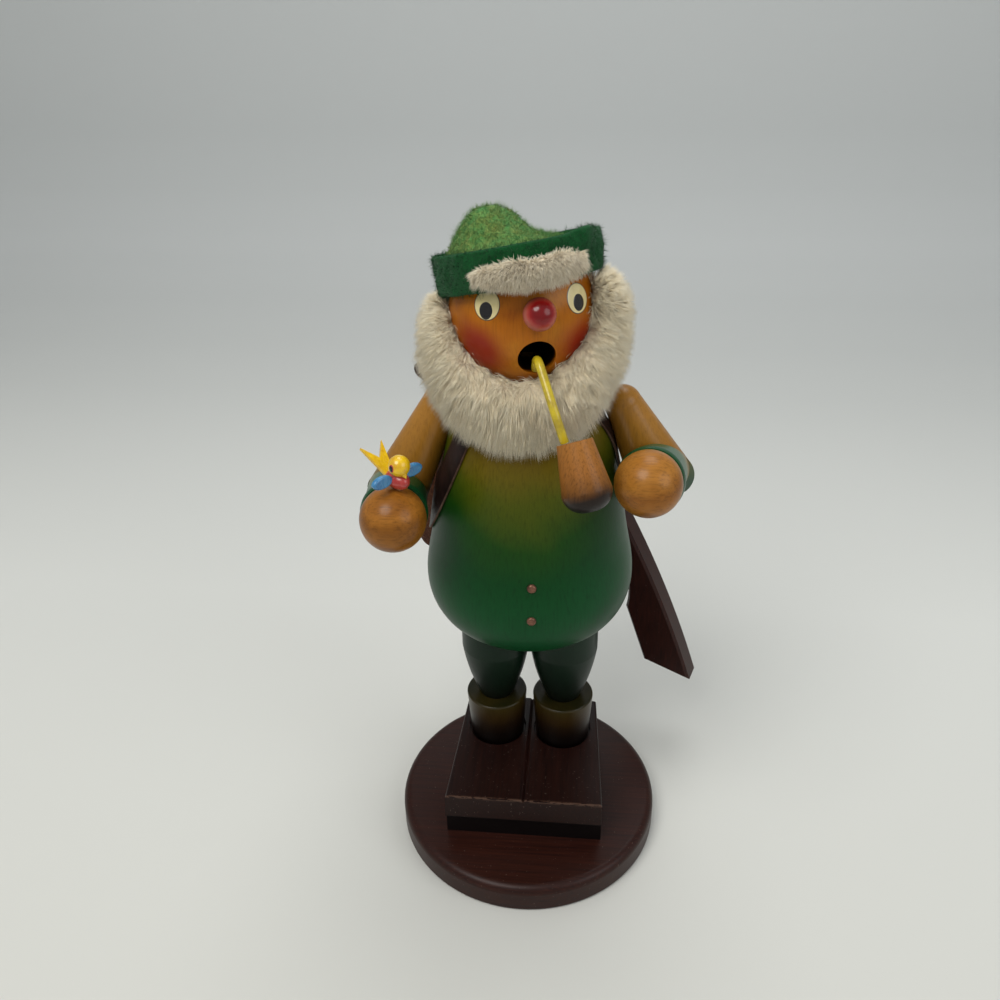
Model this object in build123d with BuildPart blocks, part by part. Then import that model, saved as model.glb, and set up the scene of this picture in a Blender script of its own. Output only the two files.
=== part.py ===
from build123d import *
import math
import os

os.makedirs("parts", exist_ok=True)

# German incense smoker, a turned huntsman. Millimetres, +Z up.
# The origin is the middle of the base disc's underside. The figure faces -Y.
# Right and left are the figure's own, so its right side is -X.

overrun = 5.0
glue_gap = 0.02
half_share = 0.5

# Base disc
base_radius = 40.0
base_thickness = 9.0
base_top_round = 2.5
base_bottom_round = 1.0

# Where the turned figure stands behind the middle of the base
figure_y = 9.5

# Shoe blocks
shoe_front_y = -22.2
shoe_rear_y = 22.0
shoe_front_width = 23.4
shoe_rear_width = 21.2
sole_height = 8.3
sole_setback = 1.8
toe_height = 15.3
toe_bevel = 1.2
shoe_rear_height = 16.5
shoe_edge_round = 0.7
seam_groove = 0.6

# Boots
boot_spacing = 20.8
boot_height = 16.7
boot_bottom_radius = 8.3
boot_top_radius = 9.4
boot_edge_round = 0.6
boot_sink = 0.5
boot_socket_clearance = 0.8

# Legs
leg_height = 33.7
leg_ankle_radius = 5.2
leg_calf_radius = 8.1
leg_radius = 10.2
leg_calf_share = 0.25
leg_knee_share = 0.56
ankle_dowel_radius = 2.5
ankle_dowel_length = 8.0
hip_dowel_radius = 4.0
hip_dowel_length = 3.0

# Hip plug, which carries the coat and closes the smoke chamber from below
plug_thickness = 5.0
plug_clearance = 0.08
vent_radius = 1.6
vent_ring_radius = 16.5
vent_half_fan = 26.0
vents_each_side = 3

# Incense plate and its nail
plate_radius = 13.5
plate_thickness = 0.6
plate_rim_height = 2.0
plate_hole_radius = 0.8
plate_hole_ring_radius = 9.5
plate_hole_count = 8
nail_radius = 1.0
nail_clearance = 0.05
nail_head_radius = 2.1
nail_head_height = 0.8
nail_length = 4.0

# Coat
coat_height = 73.0
coat_radius = 29.3
coat_rim_radius = 22.7
coat_opening_radius = 22.0
coat_opening_depth = 4.7
coat_top_radius = 9.0
chamber_radius = 19.0
chamber_straight = 33.0
chamber_dome = 23.5
chamber_dome_shares = (0.8, 0.64)
smoke_bore_radius = 4.0
neck_radius = 6.5
neck_height = 4.0
outline_stations = 10
# (radius, height) as shares of coat_radius and coat_height
coat_outline_shares = (
    (0.910, 0.055),
    (1.000, 0.168),
    (0.942, 0.353),
    (0.874, 0.514),
    (0.790, 0.678),
    (0.680, 0.842),
    (0.510, 0.952),
)

# Coat buttons
button_radius = 1.25
button_dome = 0.75
button_round_share = 0.9
button_shank_radius = 0.45
button_shank_length = 3.0
button_x = 2.5
button_heights = (24.8, 15.5)

# Head
head_x = -1.3
head_radius = 18.5
head_half_height = 19.5
head_lift = 17.5
face_turn = 15.0
mouth_radius = 4.6
mouth_drop = 7.1
nose_radius = 3.9
nose_reach = 20.4
nose_rise = 4.5

# Beard, a fur collar round the face from ear to ear under the chin
beard_side_reach = 19.5
beard_chin_reach = 19.8
beard_side_depth = 6.8
beard_chin_depth = 8.2
beard_side_thickness = 7.6
beard_chin_thickness = 8.4
beard_side_forward = 3.0
beard_chin_forward = 15.8
beard_right_end = 190.0
beard_left_end = -16.0
beard_stations = 9

# Hair at the back of the head and under the front of the hat
back_hair_reach = 19.2
back_hair_drop = 3.2
back_hair_thickness = 4.6
back_hair_half_height = 9.0
fringe_reach = 19.6
fringe_lift = 0.6
fringe_thickness = 2.9
fringe_half_height = 3.8
fringe_half_fan = 48.0

# Hat
hat_x = -0.8
hat_rise = 24.8
hat_roll = 10.0
hat_pitch = 12.0
felt_thickness = 2.0
brim_radius = 19.6
brim_height = 9.5
brim_edge_round = 0.7
crown_radius = 17.6
crown_height = 18.2
crown_foot = 6.8
crown_inner_foot = 5.0
crown_lean = 5.7
# (radius share of crown_radius, lean share of crown_lean, height share of crown_height)
crown_shares = (
    (0.800, 0.54, 0.450),
    (0.653, 0.73, 0.527),
    (0.483, 0.98, 0.687),
    (0.395, 1.00, 0.802),
    (0.300, 1.00, 0.900),
    (0.150, 0.90, 0.985),
)

# Arms
shoulder_radius = 4.9
elbow_radius = 8.3
cuff_radius = 8.7
cuff_length = 4.0
cuff_step = 0.45
hand_radius = 8.4
hand_seat = 3.9
right_shoulder = Vector(-23.0, figure_y, 139.0)
right_elbow = Vector(-36.5, 8.0, 112.1)
right_hand_center = Vector(-32.0, -19.0, 119.4)
left_shoulder = Vector(24.4, figure_y, 139.5)
left_elbow = Vector(34.6, 11.0, 119.5)
left_hand_center = Vector(30.65, -13.0, 128.3)

# Bird on the right hand
bird_offset = Vector(1.8, 0.8, 10.9)
bird_facing = -41.0
bird_length = 7.6
bird_radius = 2.4
bird_head_radius = 2.7
bird_head_ahead = 1.1
bird_head_rise = 4.1
beak_radius = 1.2
beak_length = 1.6
bird_head_share = 0.75
wing_round_share = 0.35
tail_root_share = 0.35
bird_peg_depth = 2.0
wing_length = 5.8
wing_width = 3.3
wing_thickness = 1.6
wing_spread = 4.6
wing_rise = 0.9
bird_tail_length = 9.5
bird_tail_width = 6.4
bird_tail_root_width = 2.2
bird_tail_notch_share = 0.45
bird_tail_thickness = 0.9
bird_tail_pitch = 38.0
bird_peg_radius = 0.6

# Pipe
stem_radius = 1.05
stem_inner = Vector(2.55, -4.6, 154.45)
stem_crest = Vector(3.3, -10.0, 159.4)
stem_bend = Vector(7.6, -19.6, 150.6)
stem_end = Vector(10.3, -20.3, 142.6)
stem_crest_bend = 3.2
stem_low_bend = 9.0
bowl_top = Vector(12.6, -20.8, 143.0)
bowl_bottom = Vector(17.0, -27.6, 128.7)
bowl_top_radius = 4.3
bowl_radius = 6.05
bowl_belly_share = 0.27
bowl_heel_shares = (0.76, 0.30)
bowl_well_radius = 1.6
bowl_well_depth = 3.0
stem_socket_depth = 2.4

# Leather straps
strap_width = 3.8
strap_thickness = 0.8
right_strap_x = -15.9
right_strap_height = 59.6
right_strap_slope = 22.4
left_strap_point = Vector(18.1, 4.1, 137.6)
left_strap_normal = Vector(0.079, 0.866, 0.496)
left_strap_inner_x = 9.0
left_strap_leave = Vector(24.6, 19.4, 110.6)
strap_meets_comb = 10.0
strap_meets_below = 3.0

# Rucksack on the back
rucksack_width = 57.0
rucksack_height = 44.0
rucksack_depth = 20.0
rucksack_corner = 8.0
rucksack_edge_round = 3.0
rucksack_center = Vector(-8.0, 44.6, 97.0)
rucksack_yaw = 10.0
flap_thickness = 1.4
flap_drop = 13.0
flap_overlap = 1.0

# Gun slung across the back, cut from a board. Its origin is the bend on its upper edge
gun_origin = Vector(25.7, 38.1, 90.3)
gun_yaw = 20.0
gun_pitch = 5.0
gun_thickness = 7.5
gun_edge_round = 0.8
comb_angle = -67.7
barrel_angle = 148.4
butt_length = 70.0
butt_width = 13.5
butt_slant = 9.8
comb_crown = 1.7
belly_length_share = 0.53
belly_width_share = 0.86
grip_width = 9.6
wrist_length = 13.0
wrist_width = 8.6
fore_end_length = 34.0
fore_end_width = 7.4
barrel_length = 79.0
barrel_width = 5.8
barrel_thickness = 4.6
sling_width = 4.0
sling_thickness = 0.8
sling_reach = 70.0
sling_drop = 21.0

# Heights that follow from the sizes above
boot_floor_z = base_thickness + toe_height - boot_sink
boot_top_z = boot_floor_z + boot_height
leg_top_z = boot_top_z + leg_height
plug_top_z = leg_top_z + plug_thickness
coat_bottom_z = plug_top_z - coat_opening_depth
coat_top_z = coat_bottom_z + coat_height
head_center = Vector(head_x, figure_y, coat_top_z + head_lift)
mouth_z = head_center.Z - mouth_drop


def level(height, x=0):
    """A level plane on the figure's upright, at a height."""
    return Plane(origin=(x, figure_y, height))


def front_plane(x=0):
    """The upright plane through a turned piece's axis, seen from the front."""
    return Plane(origin=(x, figure_y, 0), x_dir=(1, 0, 0), z_dir=(0, -1, 0))


def upright_axis(x=0):
    return Axis((x, figure_y, 0), (0, 0, 1))


def axial_plane(origin, direction):
    """A plane that holds a piece's axis: its local Y runs along the direction."""
    across = Plane(origin=origin, z_dir=direction)
    return Plane(origin=origin, x_dir=across.x_dir, z_dir=-across.y_dir)


def keep(piece, name):
    piece.part.label = name
    export_step(piece.part, f"parts/{name}.step")


# Base disc
with BuildPart() as base_disc:
    with BuildSketch(Plane.XY):
        Circle(base_radius)
    extrude(amount=base_thickness)
    fillet(base_disc.edges().sort_by(Axis.Z)[-1], base_top_round)
    fillet(base_disc.edges().sort_by(Axis.Z)[0], base_bottom_round)
keep(base_disc, "base_disc")

# Shoe blocks, one each side of a seam, with a sole that stands back under the toe
for name, side in (("right_shoe", -1), ("left_shoe", 1)):
    boot_x = side * boot_spacing / 2
    with BuildPart() as shoe:
        with BuildSketch(Plane.YZ):
            with BuildLine():
                Polyline(
                    (shoe_front_y + sole_setback, base_thickness),
                    (shoe_front_y + sole_setback, base_thickness + sole_height),
                    (shoe_front_y, base_thickness + sole_height),
                    (shoe_front_y + toe_bevel, base_thickness + toe_height),
                    (shoe_rear_y, base_thickness + shoe_rear_height),
                    (shoe_rear_y, base_thickness),
                    close=True,
                )
            make_face()
        extrude(amount=side * shoe_front_width)
        with BuildSketch(Plane.XY.offset(base_thickness)):
            with BuildLine():
                Polyline(
                    (0, shoe_front_y),
                    (side * shoe_front_width, shoe_front_y),
                    (side * shoe_rear_width, shoe_rear_y),
                    (0, shoe_rear_y),
                    close=True,
                )
            make_face()
        extrude(amount=shoe_rear_height, mode=Mode.INTERSECT)
        top_edges = shoe.faces().sort_by(Axis.Z)[-1].edges()
        chamfer(top_edges.sort_by(Axis.X)[-1 if side < 0 else 0], seam_groove)
        outer_edge = shoe.faces().sort_by(Axis.Z)[-1].edges().sort_by(Axis.X)[0 if side < 0 else -1]
        fillet(outer_edge, shoe_edge_round)
        with BuildSketch(level(boot_floor_z, boot_x)):
            Circle(boot_bottom_radius + boot_socket_clearance)
        extrude(amount=shoe_rear_height, mode=Mode.SUBTRACT)
    keep(shoe, name)

# Boots, tapered shafts that stand in the shoes' sockets
for name, side in (("right_boot", -1), ("left_boot", 1)):
    boot_x = side * boot_spacing / 2
    with BuildPart() as boot:
        with BuildSketch(level(boot_floor_z, boot_x)):
            Circle(boot_bottom_radius)
        with BuildSketch(level(boot_top_z, boot_x)):
            Circle(boot_top_radius)
        loft()
        fillet(boot.edges().sort_by(Axis.Z)[-1], boot_edge_round)
        with BuildSketch(level(boot_top_z, boot_x)):
            Circle(ankle_dowel_radius + glue_gap)
        extrude(amount=-ankle_dowel_length, mode=Mode.SUBTRACT)
    keep(boot, name)

# Legs, rounded in to the ankle, with a dowel turned on each end
knee_z = boot_top_z + leg_height * leg_knee_share
calf_z = boot_top_z + leg_height * leg_calf_share
for name, side in (("right_leg", -1), ("left_leg", 1)):
    leg_x = side * boot_spacing / 2
    with BuildPart() as leg:
        with BuildSketch(front_plane(leg_x)):
            with BuildLine():
                Polyline(
                    (0, boot_top_z - ankle_dowel_length),
                    (ankle_dowel_radius, boot_top_z - ankle_dowel_length),
                    (ankle_dowel_radius, boot_top_z),
                    (leg_ankle_radius, boot_top_z),
                )
                ThreePointArc(
                    (leg_ankle_radius, boot_top_z),
                    (leg_calf_radius, calf_z),
                    (leg_radius, knee_z),
                )
                Polyline(
                    (leg_radius, knee_z),
                    (leg_radius, leg_top_z),
                    (hip_dowel_radius, leg_top_z),
                    (hip_dowel_radius, leg_top_z + hip_dowel_length),
                    (0, leg_top_z + hip_dowel_length),
                    (0, boot_top_z - ankle_dowel_length),
                )
            make_face()
        revolve(axis=upright_axis(leg_x))
    keep(leg, name)

# Hip plug with dowel sockets below and air vents right through
with BuildPart() as hip_plug:
    with BuildSketch(level(leg_top_z)):
        Circle(coat_opening_radius - plug_clearance)
    extrude(amount=plug_thickness)
    for side in (-1, 1):
        with BuildSketch(level(leg_top_z, side * boot_spacing / 2)):
            Circle(hip_dowel_radius + glue_gap)
        extrude(amount=hip_dowel_length, mode=Mode.SUBTRACT)
    vent_step = 2 * vent_half_fan / (vents_each_side - 1)
    with BuildSketch(level(leg_top_z)):
        for front in (90, 270):
            with PolarLocations(
                vent_ring_radius, vents_each_side, front - vent_half_fan, vent_step * vents_each_side
            ):
                Circle(vent_radius)
    extrude(amount=plug_thickness, mode=Mode.SUBTRACT)
    with BuildSketch(level(plug_top_z)):
        Circle(nail_radius)
    extrude(amount=-nail_length, mode=Mode.SUBTRACT)
keep(hip_plug, "hip_plug")

# Incense plate, a pressed dish with air holes
with BuildPart() as incense_plate:
    with BuildSketch(level(plug_top_z)):
        Circle(plate_radius)
    extrude(amount=plate_rim_height)
    with BuildSketch(level(plug_top_z + plate_thickness)):
        Circle(plate_radius - plate_thickness)
    extrude(amount=plate_rim_height, mode=Mode.SUBTRACT)
    with BuildSketch(level(plug_top_z)):
        Circle(nail_radius + nail_clearance)
        with PolarLocations(plate_hole_ring_radius, plate_hole_count):
            Circle(plate_hole_radius)
    extrude(amount=plate_thickness, mode=Mode.SUBTRACT)
keep(incense_plate, "incense_plate")

# Nail through the plate's middle
with BuildPart() as plate_nail:
    with BuildSketch(level(plug_top_z - nail_length)):
        Circle(nail_radius)
    extrude(amount=nail_length + plate_thickness + nail_clearance)
    with BuildSketch(level(plug_top_z + plate_thickness + nail_clearance)):
        Circle(nail_head_radius)
    extrude(amount=nail_head_height)
    fillet(plate_nail.edges().sort_by(Axis.Z)[-1], nail_head_height / 2)
keep(plate_nail, "plate_nail")

# Outer form of the coat, which straps, arms and fur also lie against
coat_points = [(coat_rim_radius, coat_bottom_z)]
for radius_share, height_share in coat_outline_shares:
    coat_points.append((coat_radius * radius_share, coat_bottom_z + coat_height * height_share))
coat_points.append((coat_top_radius, coat_top_z))
with BuildLine(front_plane()) as coat_outline:
    Spline(*coat_points)


def grown_outline(growth):
    """The coat's outline moved out square to itself by a growth."""
    edge = coat_outline.edges()[0]
    points = []
    for station in range(outline_stations + 1):
        place = edge.position_at(station / outline_stations)
        along = edge.tangent_at(station / outline_stations)
        points.append((place.X + along.Z * growth, place.Z - along.X * growth))
    return points


def coat_form(growth=0):
    """The coat as a full solid, or one that is larger all round by a growth."""
    points = grown_outline(growth) if growth else coat_points
    with BuildPart() as form:
        with BuildSketch(front_plane()):
            with BuildLine():
                Spline(*points)
                Polyline(points[-1], (0, points[-1][1]), (0, points[0][1]), points[0])
            make_face()
        revolve(axis=upright_axis())
    return form.part


def coat_point(height):
    """The point of the coat's outline at a height above its lower edge, and its tangent."""
    edge = coat_outline.edges()[0]
    low, high = 0.0, 1.0
    while high - low > 1e-6:
        middle = (low + high) / 2
        if edge.position_at(middle).Z < coat_bottom_z + height:
            low = middle
        else:
            high = middle
    return edge.position_at(low), edge.tangent_at(low)


coat_solid = coat_form()

# Coat: hollow smoke chamber, seat for the plug, neck spigot and smoke bore
chamber_top_z = plug_top_z + chamber_straight + chamber_dome
dome_radius_share, dome_height_share = chamber_dome_shares
with BuildPart() as coat_body:
    add(coat_solid)
    with BuildSketch(level(coat_top_z)):
        Circle(neck_radius)
    extrude(amount=neck_height)
    with BuildSketch(level(coat_bottom_z)):
        Circle(coat_opening_radius)
    extrude(amount=coat_opening_depth, mode=Mode.SUBTRACT)
    with BuildSketch(front_plane()):
        with BuildLine():
            Polyline(
                (0, chamber_top_z),
                (0, coat_bottom_z),
                (chamber_radius, coat_bottom_z),
                (chamber_radius, plug_top_z + chamber_straight),
            )
            ThreePointArc(
                (chamber_radius, plug_top_z + chamber_straight),
                (chamber_radius * dome_radius_share,
                 plug_top_z + chamber_straight + chamber_dome * dome_height_share),
                (smoke_bore_radius, chamber_top_z),
            )
            Line((smoke_bore_radius, chamber_top_z), (0, chamber_top_z))
        make_face()
    revolve(axis=upright_axis(), mode=Mode.SUBTRACT)
    with BuildSketch(level(chamber_top_z)):
        Circle(smoke_bore_radius)
    extrude(amount=coat_top_z + neck_height - chamber_top_z, both=True, mode=Mode.SUBTRACT)

# Domed nails as buttons, driven in square to the coat's surface
with BuildPart() as coat_buttons:
    for button_height in button_heights:
        on_outline, along = coat_point(button_height)
        turn = math.degrees(math.asin(button_x / on_outline.X))
        outward = Vector(along.Z, 0, -along.X).rotate(Axis.Z, turn - 90)
        seat = Vector(on_outline.X, 0, on_outline.Z).rotate(Axis.Z, turn - 90)
        seat = seat + Vector(0, figure_y, 0)
        with BuildSketch(Plane(origin=seat, z_dir=outward)):
            Circle(button_radius)
        extrude(amount=button_dome)
        with BuildSketch(Plane(origin=seat, z_dir=outward)):
            Circle(button_shank_radius)
        extrude(amount=-button_shank_length)
        crown_edge = coat_buttons.edges().sort_by(Axis(seat, outward))[-1]
        fillet(crown_edge, button_dome * button_round_share)
keep(coat_buttons, "coat_buttons")


# The hat's own plane: its brim stands on it, tipped to the right and back
roll = math.radians(hat_roll)
pitch = math.radians(hat_pitch)
hat_up = Vector(
    -math.sin(roll) * math.cos(pitch),
    math.cos(roll) * math.sin(pitch),
    math.cos(roll) * math.cos(pitch),
)
hat_plane = Plane(
    origin=(hat_x, figure_y, coat_top_z + hat_rise),
    x_dir=(math.cos(roll), 0, math.sin(roll)),
    z_dir=hat_up,
)

# Head: a ball, flattened at the neck and under the hat
head_plane = Plane(origin=head_center, x_dir=(1, 0, 0), z_dir=(0, -1, 0))
with BuildPart() as head_form:
    with BuildSketch(head_plane):
        Ellipse(head_radius, head_half_height)
        with Locations((-head_radius, 0)):
            Rectangle(2 * head_radius, 2 * head_half_height, mode=Mode.SUBTRACT)
    revolve(axis=Axis(head_center, (0, 0, 1)))
    split(bisect_by=Plane.XY.offset(coat_top_z), keep=Keep.TOP)
    split(bisect_by=hat_plane.offset(crown_inner_foot), keep=Keep.BOTTOM)

face_direction = Vector(0, -1, 0).rotate(Axis.Z, face_turn)
nose_center = head_center + Vector(0, 0, nose_rise)
nose_level_reach = math.sqrt(nose_reach**2 - nose_rise**2)
nose_center = nose_center + face_direction * nose_level_reach

# Nose, a painted bead
with BuildPart() as nose:
    with BuildSketch(axial_plane(nose_center, face_direction)):
        Circle(nose_radius)
        with Locations((-nose_radius, 0)):
            Rectangle(2 * nose_radius, 2 * nose_radius, mode=Mode.SUBTRACT)
    revolve(axis=Axis(nose_center, face_direction))
keep(nose, "nose")

# Head with the neck socket, the smoke bore and the mouth that meets it
with BuildPart() as head:
    add(head_form.part)
    with BuildSketch(level(coat_top_z)):
        Circle(neck_radius + glue_gap)
    extrude(amount=neck_height + glue_gap, mode=Mode.SUBTRACT)
    with BuildSketch(level(coat_top_z)):
        Circle(smoke_bore_radius)
    extrude(amount=mouth_z - coat_top_z, mode=Mode.SUBTRACT)
    with BuildSketch(Plane(origin=(head_x, figure_y, mouth_z), z_dir=face_direction)):
        Circle(mouth_radius)
    extrude(amount=head_radius + overrun, mode=Mode.SUBTRACT)
    with BuildSketch(Plane(origin=(head_x, figure_y, mouth_z), z_dir=face_direction)):
        Circle(mouth_radius)
    extrude(amount=-smoke_bore_radius, mode=Mode.SUBTRACT)
    add(nose.part, mode=Mode.SUBTRACT)
keep(head, "head")

# Hat: crown blocked over the head, brim turned up all round
def crown_form(foot, inset):
    """The crown from its foot up, drawn in all round by an inset."""
    with BuildPart() as form:
        with BuildSketch(hat_plane.offset(foot)):
            Circle(crown_radius - inset)
        for radius_share, lean_share, height_share in crown_shares:
            with BuildSketch(hat_plane.offset(crown_height * height_share - inset)):
                with Locations((-crown_lean * lean_share, 0)):
                    Circle(crown_radius * radius_share - inset * (1 - radius_share / 2))
        loft()
    return form.part


with BuildPart() as hat:
    with BuildSketch(hat_plane):
        Circle(brim_radius)
    extrude(amount=brim_height)
    fillet(hat.edges().sort_by(Axis(hat_plane.origin, hat_up))[-1], brim_edge_round)
    with BuildSketch(hat_plane.offset(crown_foot)):
        Circle(brim_radius - felt_thickness)
    extrude(amount=brim_height, mode=Mode.SUBTRACT)
    add(crown_form(crown_foot, 0))
    add(crown_form(crown_inner_foot, felt_thickness), mode=Mode.SUBTRACT)
    add(head_form.part, mode=Mode.SUBTRACT)
keep(hat, "hat")

def section_plane(origin, up, toward):
    """A plane through an axis, seen along it: local X points toward, local Y runs up."""
    return Plane(origin=origin, x_dir=toward, z_dir=toward.cross(up))


# Fringe of fur that shows under the front of the brim
fringe_start = hat_plane.x_dir.rotate(Axis((0, 0, 0), hat_up), fringe_half_fan - 90)
with BuildPart() as hair_fringe:
    with BuildSketch(section_plane(hat_plane.origin, hat_up, fringe_start)):
        with Locations((fringe_reach, fringe_lift)):
            Ellipse(fringe_thickness, fringe_half_height)
    revolve(axis=Axis(hat_plane.origin, hat_up), revolution_arc=-2 * fringe_half_fan)
    add(head_form.part, mode=Mode.SUBTRACT)
    add(hat.part, mode=Mode.SUBTRACT)
keep(hair_fringe, "hair_fringe")

# Beard: fur sections set round the face, each an ellipse against the head
beard_step = (beard_right_end - beard_left_end) / (beard_stations - 1)
with BuildPart() as beard:
    for station in range(beard_stations):
        angle = math.radians(-beard_left_end - station * beard_step)
        down = max(0.0, -math.sin(angle))
        reach = beard_side_reach + (beard_chin_reach - beard_side_reach) * down
        depth = beard_side_depth + (beard_chin_depth - beard_side_depth) * down
        thickness = beard_side_thickness + (beard_chin_thickness - beard_side_thickness) * down
        forward = beard_side_forward + (beard_chin_forward - beard_side_forward) * down
        toward = Vector(math.cos(angle), 0, math.sin(angle))
        with BuildSketch(section_plane(head_center, Vector(0, -1, 0), toward)):
            with Locations((reach, forward)):
                Ellipse(depth, thickness)
    loft()
    add(head_form.part, mode=Mode.SUBTRACT)
    add(coat_solid, mode=Mode.SUBTRACT)
    add(hat.part, mode=Mode.SUBTRACT)
    add(hair_fringe.part, mode=Mode.SUBTRACT)

# Hair at the back of the head, from one end of the beard to the other
with BuildPart() as back_hair:
    with BuildSketch(section_plane(head_center, Vector(0, 0, 1), Vector(1, 0, 0))):
        with Locations((back_hair_reach, -back_hair_drop)):
            Ellipse(back_hair_thickness, back_hair_half_height)
    revolve(axis=Axis(head_center, (0, 0, 1)), revolution_arc=180)
    add(head_form.part, mode=Mode.SUBTRACT)
    add(coat_solid, mode=Mode.SUBTRACT)
    add(hat.part, mode=Mode.SUBTRACT)
    add(beard.part, mode=Mode.SUBTRACT)


def upper_arm_form(shoulder, elbow, mitre):
    """A tapered arm, round at the shoulder, sawn at the elbow's mitre and let onto the coat."""
    direction = (shoulder - elbow).normalized()
    length = (shoulder - elbow).length
    spare = 2 * elbow_radius
    low_radius = elbow_radius + (elbow_radius - shoulder_radius) * spare / length
    bend = shoulder_radius * math.sqrt(half_share)
    with BuildPart() as form:
        with BuildSketch(axial_plane(elbow, direction)):
            with BuildLine():
                Polyline(
                    (0, length + shoulder_radius),
                    (0, -spare),
                    (low_radius, -spare),
                    (shoulder_radius, length),
                )
                ThreePointArc(
                    (shoulder_radius, length),
                    (bend, length + bend),
                    (0, length + shoulder_radius),
                )
            make_face()
        revolve(axis=Axis(elbow, direction))
        split(bisect_by=mitre, keep=Keep.TOP)
        add(coat_solid, mode=Mode.SUBTRACT)
    return form


def sleeve_form(elbow, hand_center, mitre):
    """A turned forearm with a cuff ring, sawn at the mitre and hollowed for the hand."""
    direction = (hand_center - elbow).normalized()
    length = (hand_center - elbow).length - hand_seat
    spare = 2 * elbow_radius
    ring_start = length - cuff_length
    with BuildPart() as form:
        with BuildSketch(axial_plane(elbow, direction)):
            with BuildLine():
                Polyline(
                    (0, length),
                    (0, -spare),
                    (elbow_radius, -spare),
                    (cuff_radius - cuff_step, ring_start),
                )
                ThreePointArc(
                    (cuff_radius - cuff_step, ring_start),
                    (cuff_radius, ring_start + cuff_length / 2),
                    (cuff_radius - cuff_step, length),
                )
                Line((cuff_radius - cuff_step, length), (0, length))
            make_face()
        revolve(axis=Axis(elbow, direction))
        split(bisect_by=mitre, keep=Keep.BOTTOM)
        with Locations(hand_center):
            Sphere(hand_radius, mode=Mode.SUBTRACT)
    return form


# Arms: upper arm and sleeve meet at a mitre, and a ball of a hand sits in the cuff
arm_pieces = []
for side_name, shoulder, elbow, hand_center in (
    ("right", right_shoulder, right_elbow, right_hand_center),
    ("left", left_shoulder, left_elbow, left_hand_center),
):
    up_the_arm = (shoulder - elbow).normalized()
    down_the_arm = (hand_center - elbow).normalized()
    mitre = Plane(origin=elbow, z_dir=up_the_arm - down_the_arm)
    upper_arm = upper_arm_form(shoulder, elbow, mitre)
    sleeve = sleeve_form(elbow, hand_center, mitre)
    with BuildPart() as hand:
        with Locations(hand_center):
            Sphere(hand_radius)
    keep(upper_arm, f"{side_name}_upper_arm")
    keep(sleeve, f"{side_name}_sleeve")
    if side_name == "left":
        keep(hand, "left_hand")
    arm_pieces.append(upper_arm.part)
    arm_pieces.append(sleeve.part)

# Bird: a peg in the hand, body, head with beak, two wings and a forked tail board
bird_center = right_hand_center + bird_offset
bird_ahead = Vector(1, 0, 0).rotate(Axis.Z, bird_facing)
bird_aside = Vector(0, 0, 1).cross(bird_ahead)
bird_head_center = bird_center + bird_ahead * bird_head_ahead + Vector(0, 0, bird_head_rise)

with BuildPart() as bird_body:
    with BuildSketch(axial_plane(bird_center, bird_ahead)):
        Ellipse(bird_radius, bird_length / 2)
        with Locations((-bird_radius, 0)):
            Rectangle(2 * bird_radius, bird_length, mode=Mode.SUBTRACT)
    revolve(axis=Axis(bird_center, bird_ahead))

beak_direction = (bird_ahead - Vector(0, 0, 1)).normalized()
beak_root = bird_head_center + beak_direction * (bird_head_radius * bird_head_share)
with BuildPart() as bird_head:
    with Locations(bird_head_center):
        Sphere(bird_head_radius)
    with BuildSketch(axial_plane(beak_root, beak_direction)):
        with BuildLine():
            Polyline((0, 0), (beak_radius, 0), (0, beak_length), close=True)
        make_face()
    revolve(axis=Axis(beak_root, beak_direction))
    add(bird_body.part, mode=Mode.SUBTRACT)
keep(bird_head, "bird_head")

with BuildPart() as bird_wings:
    for side in (-1, 1):
        wing_center = bird_center + bird_aside * (side * wing_spread) + Vector(0, 0, wing_rise)
        with BuildSketch(section_plane(wing_center, Vector(0, 0, 1), bird_aside)):
            Ellipse(wing_length / 2, wing_width / 2)
        extrude(amount=wing_thickness / 2, both=True)
    fillet(bird_wings.edges(), wing_thickness * wing_round_share)
    add(bird_body.part, mode=Mode.SUBTRACT)
keep(bird_wings, "bird_wings")

tail_direction = Vector(-1, 0, 0).rotate(Axis.Y, bird_tail_pitch).rotate(Axis.Z, bird_facing)
tail_root = bird_center - bird_ahead * (bird_length * tail_root_share)
notch = bird_tail_length * (1 - bird_tail_notch_share)
with BuildPart() as bird_tail:
    with BuildSketch(Plane(origin=tail_root, x_dir=tail_direction, z_dir=tail_direction.cross(bird_aside))):
        with BuildLine():
            Polyline(
                (0, -bird_tail_root_width / 2),
                (bird_tail_length, -bird_tail_width / 2),
                (notch, 0),
                (bird_tail_length, bird_tail_width / 2),
                (0, bird_tail_root_width / 2),
                close=True,
            )
        make_face()
    extrude(amount=bird_tail_thickness / 2, both=True)
    add(bird_body.part, mode=Mode.SUBTRACT)
keep(bird_tail, "bird_tail")
keep(bird_body, "bird_body")

peg_bottom = bird_center - Vector(0, 0, bird_offset.Z - hand_radius + bird_peg_depth)
with BuildPart() as bird_peg:
    with BuildSketch(Plane(origin=peg_bottom)):
        Circle(bird_peg_radius)
    extrude(amount=bird_center.Z - peg_bottom.Z)
    add(bird_body.part, mode=Mode.SUBTRACT)
keep(bird_peg, "bird_peg")
with BuildPart() as right_hand:
    with Locations(right_hand_center):
        Sphere(hand_radius)
    add(bird_peg.part, mode=Mode.SUBTRACT)
keep(right_hand, "right_hand")

# Pipe: a stem that hooks over the lower lip, and a turned bowl hung on its end
with BuildPart() as pipe_stem:
    with BuildLine() as stem_line:
        FilletPolyline(stem_inner, stem_crest, stem_bend, stem_end, radius=[stem_crest_bend, stem_low_bend])
    with BuildSketch(Plane(origin=stem_inner, z_dir=stem_crest - stem_inner)):
        Circle(stem_radius)
    sweep()
keep(pipe_stem, "pipe_stem")

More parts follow.
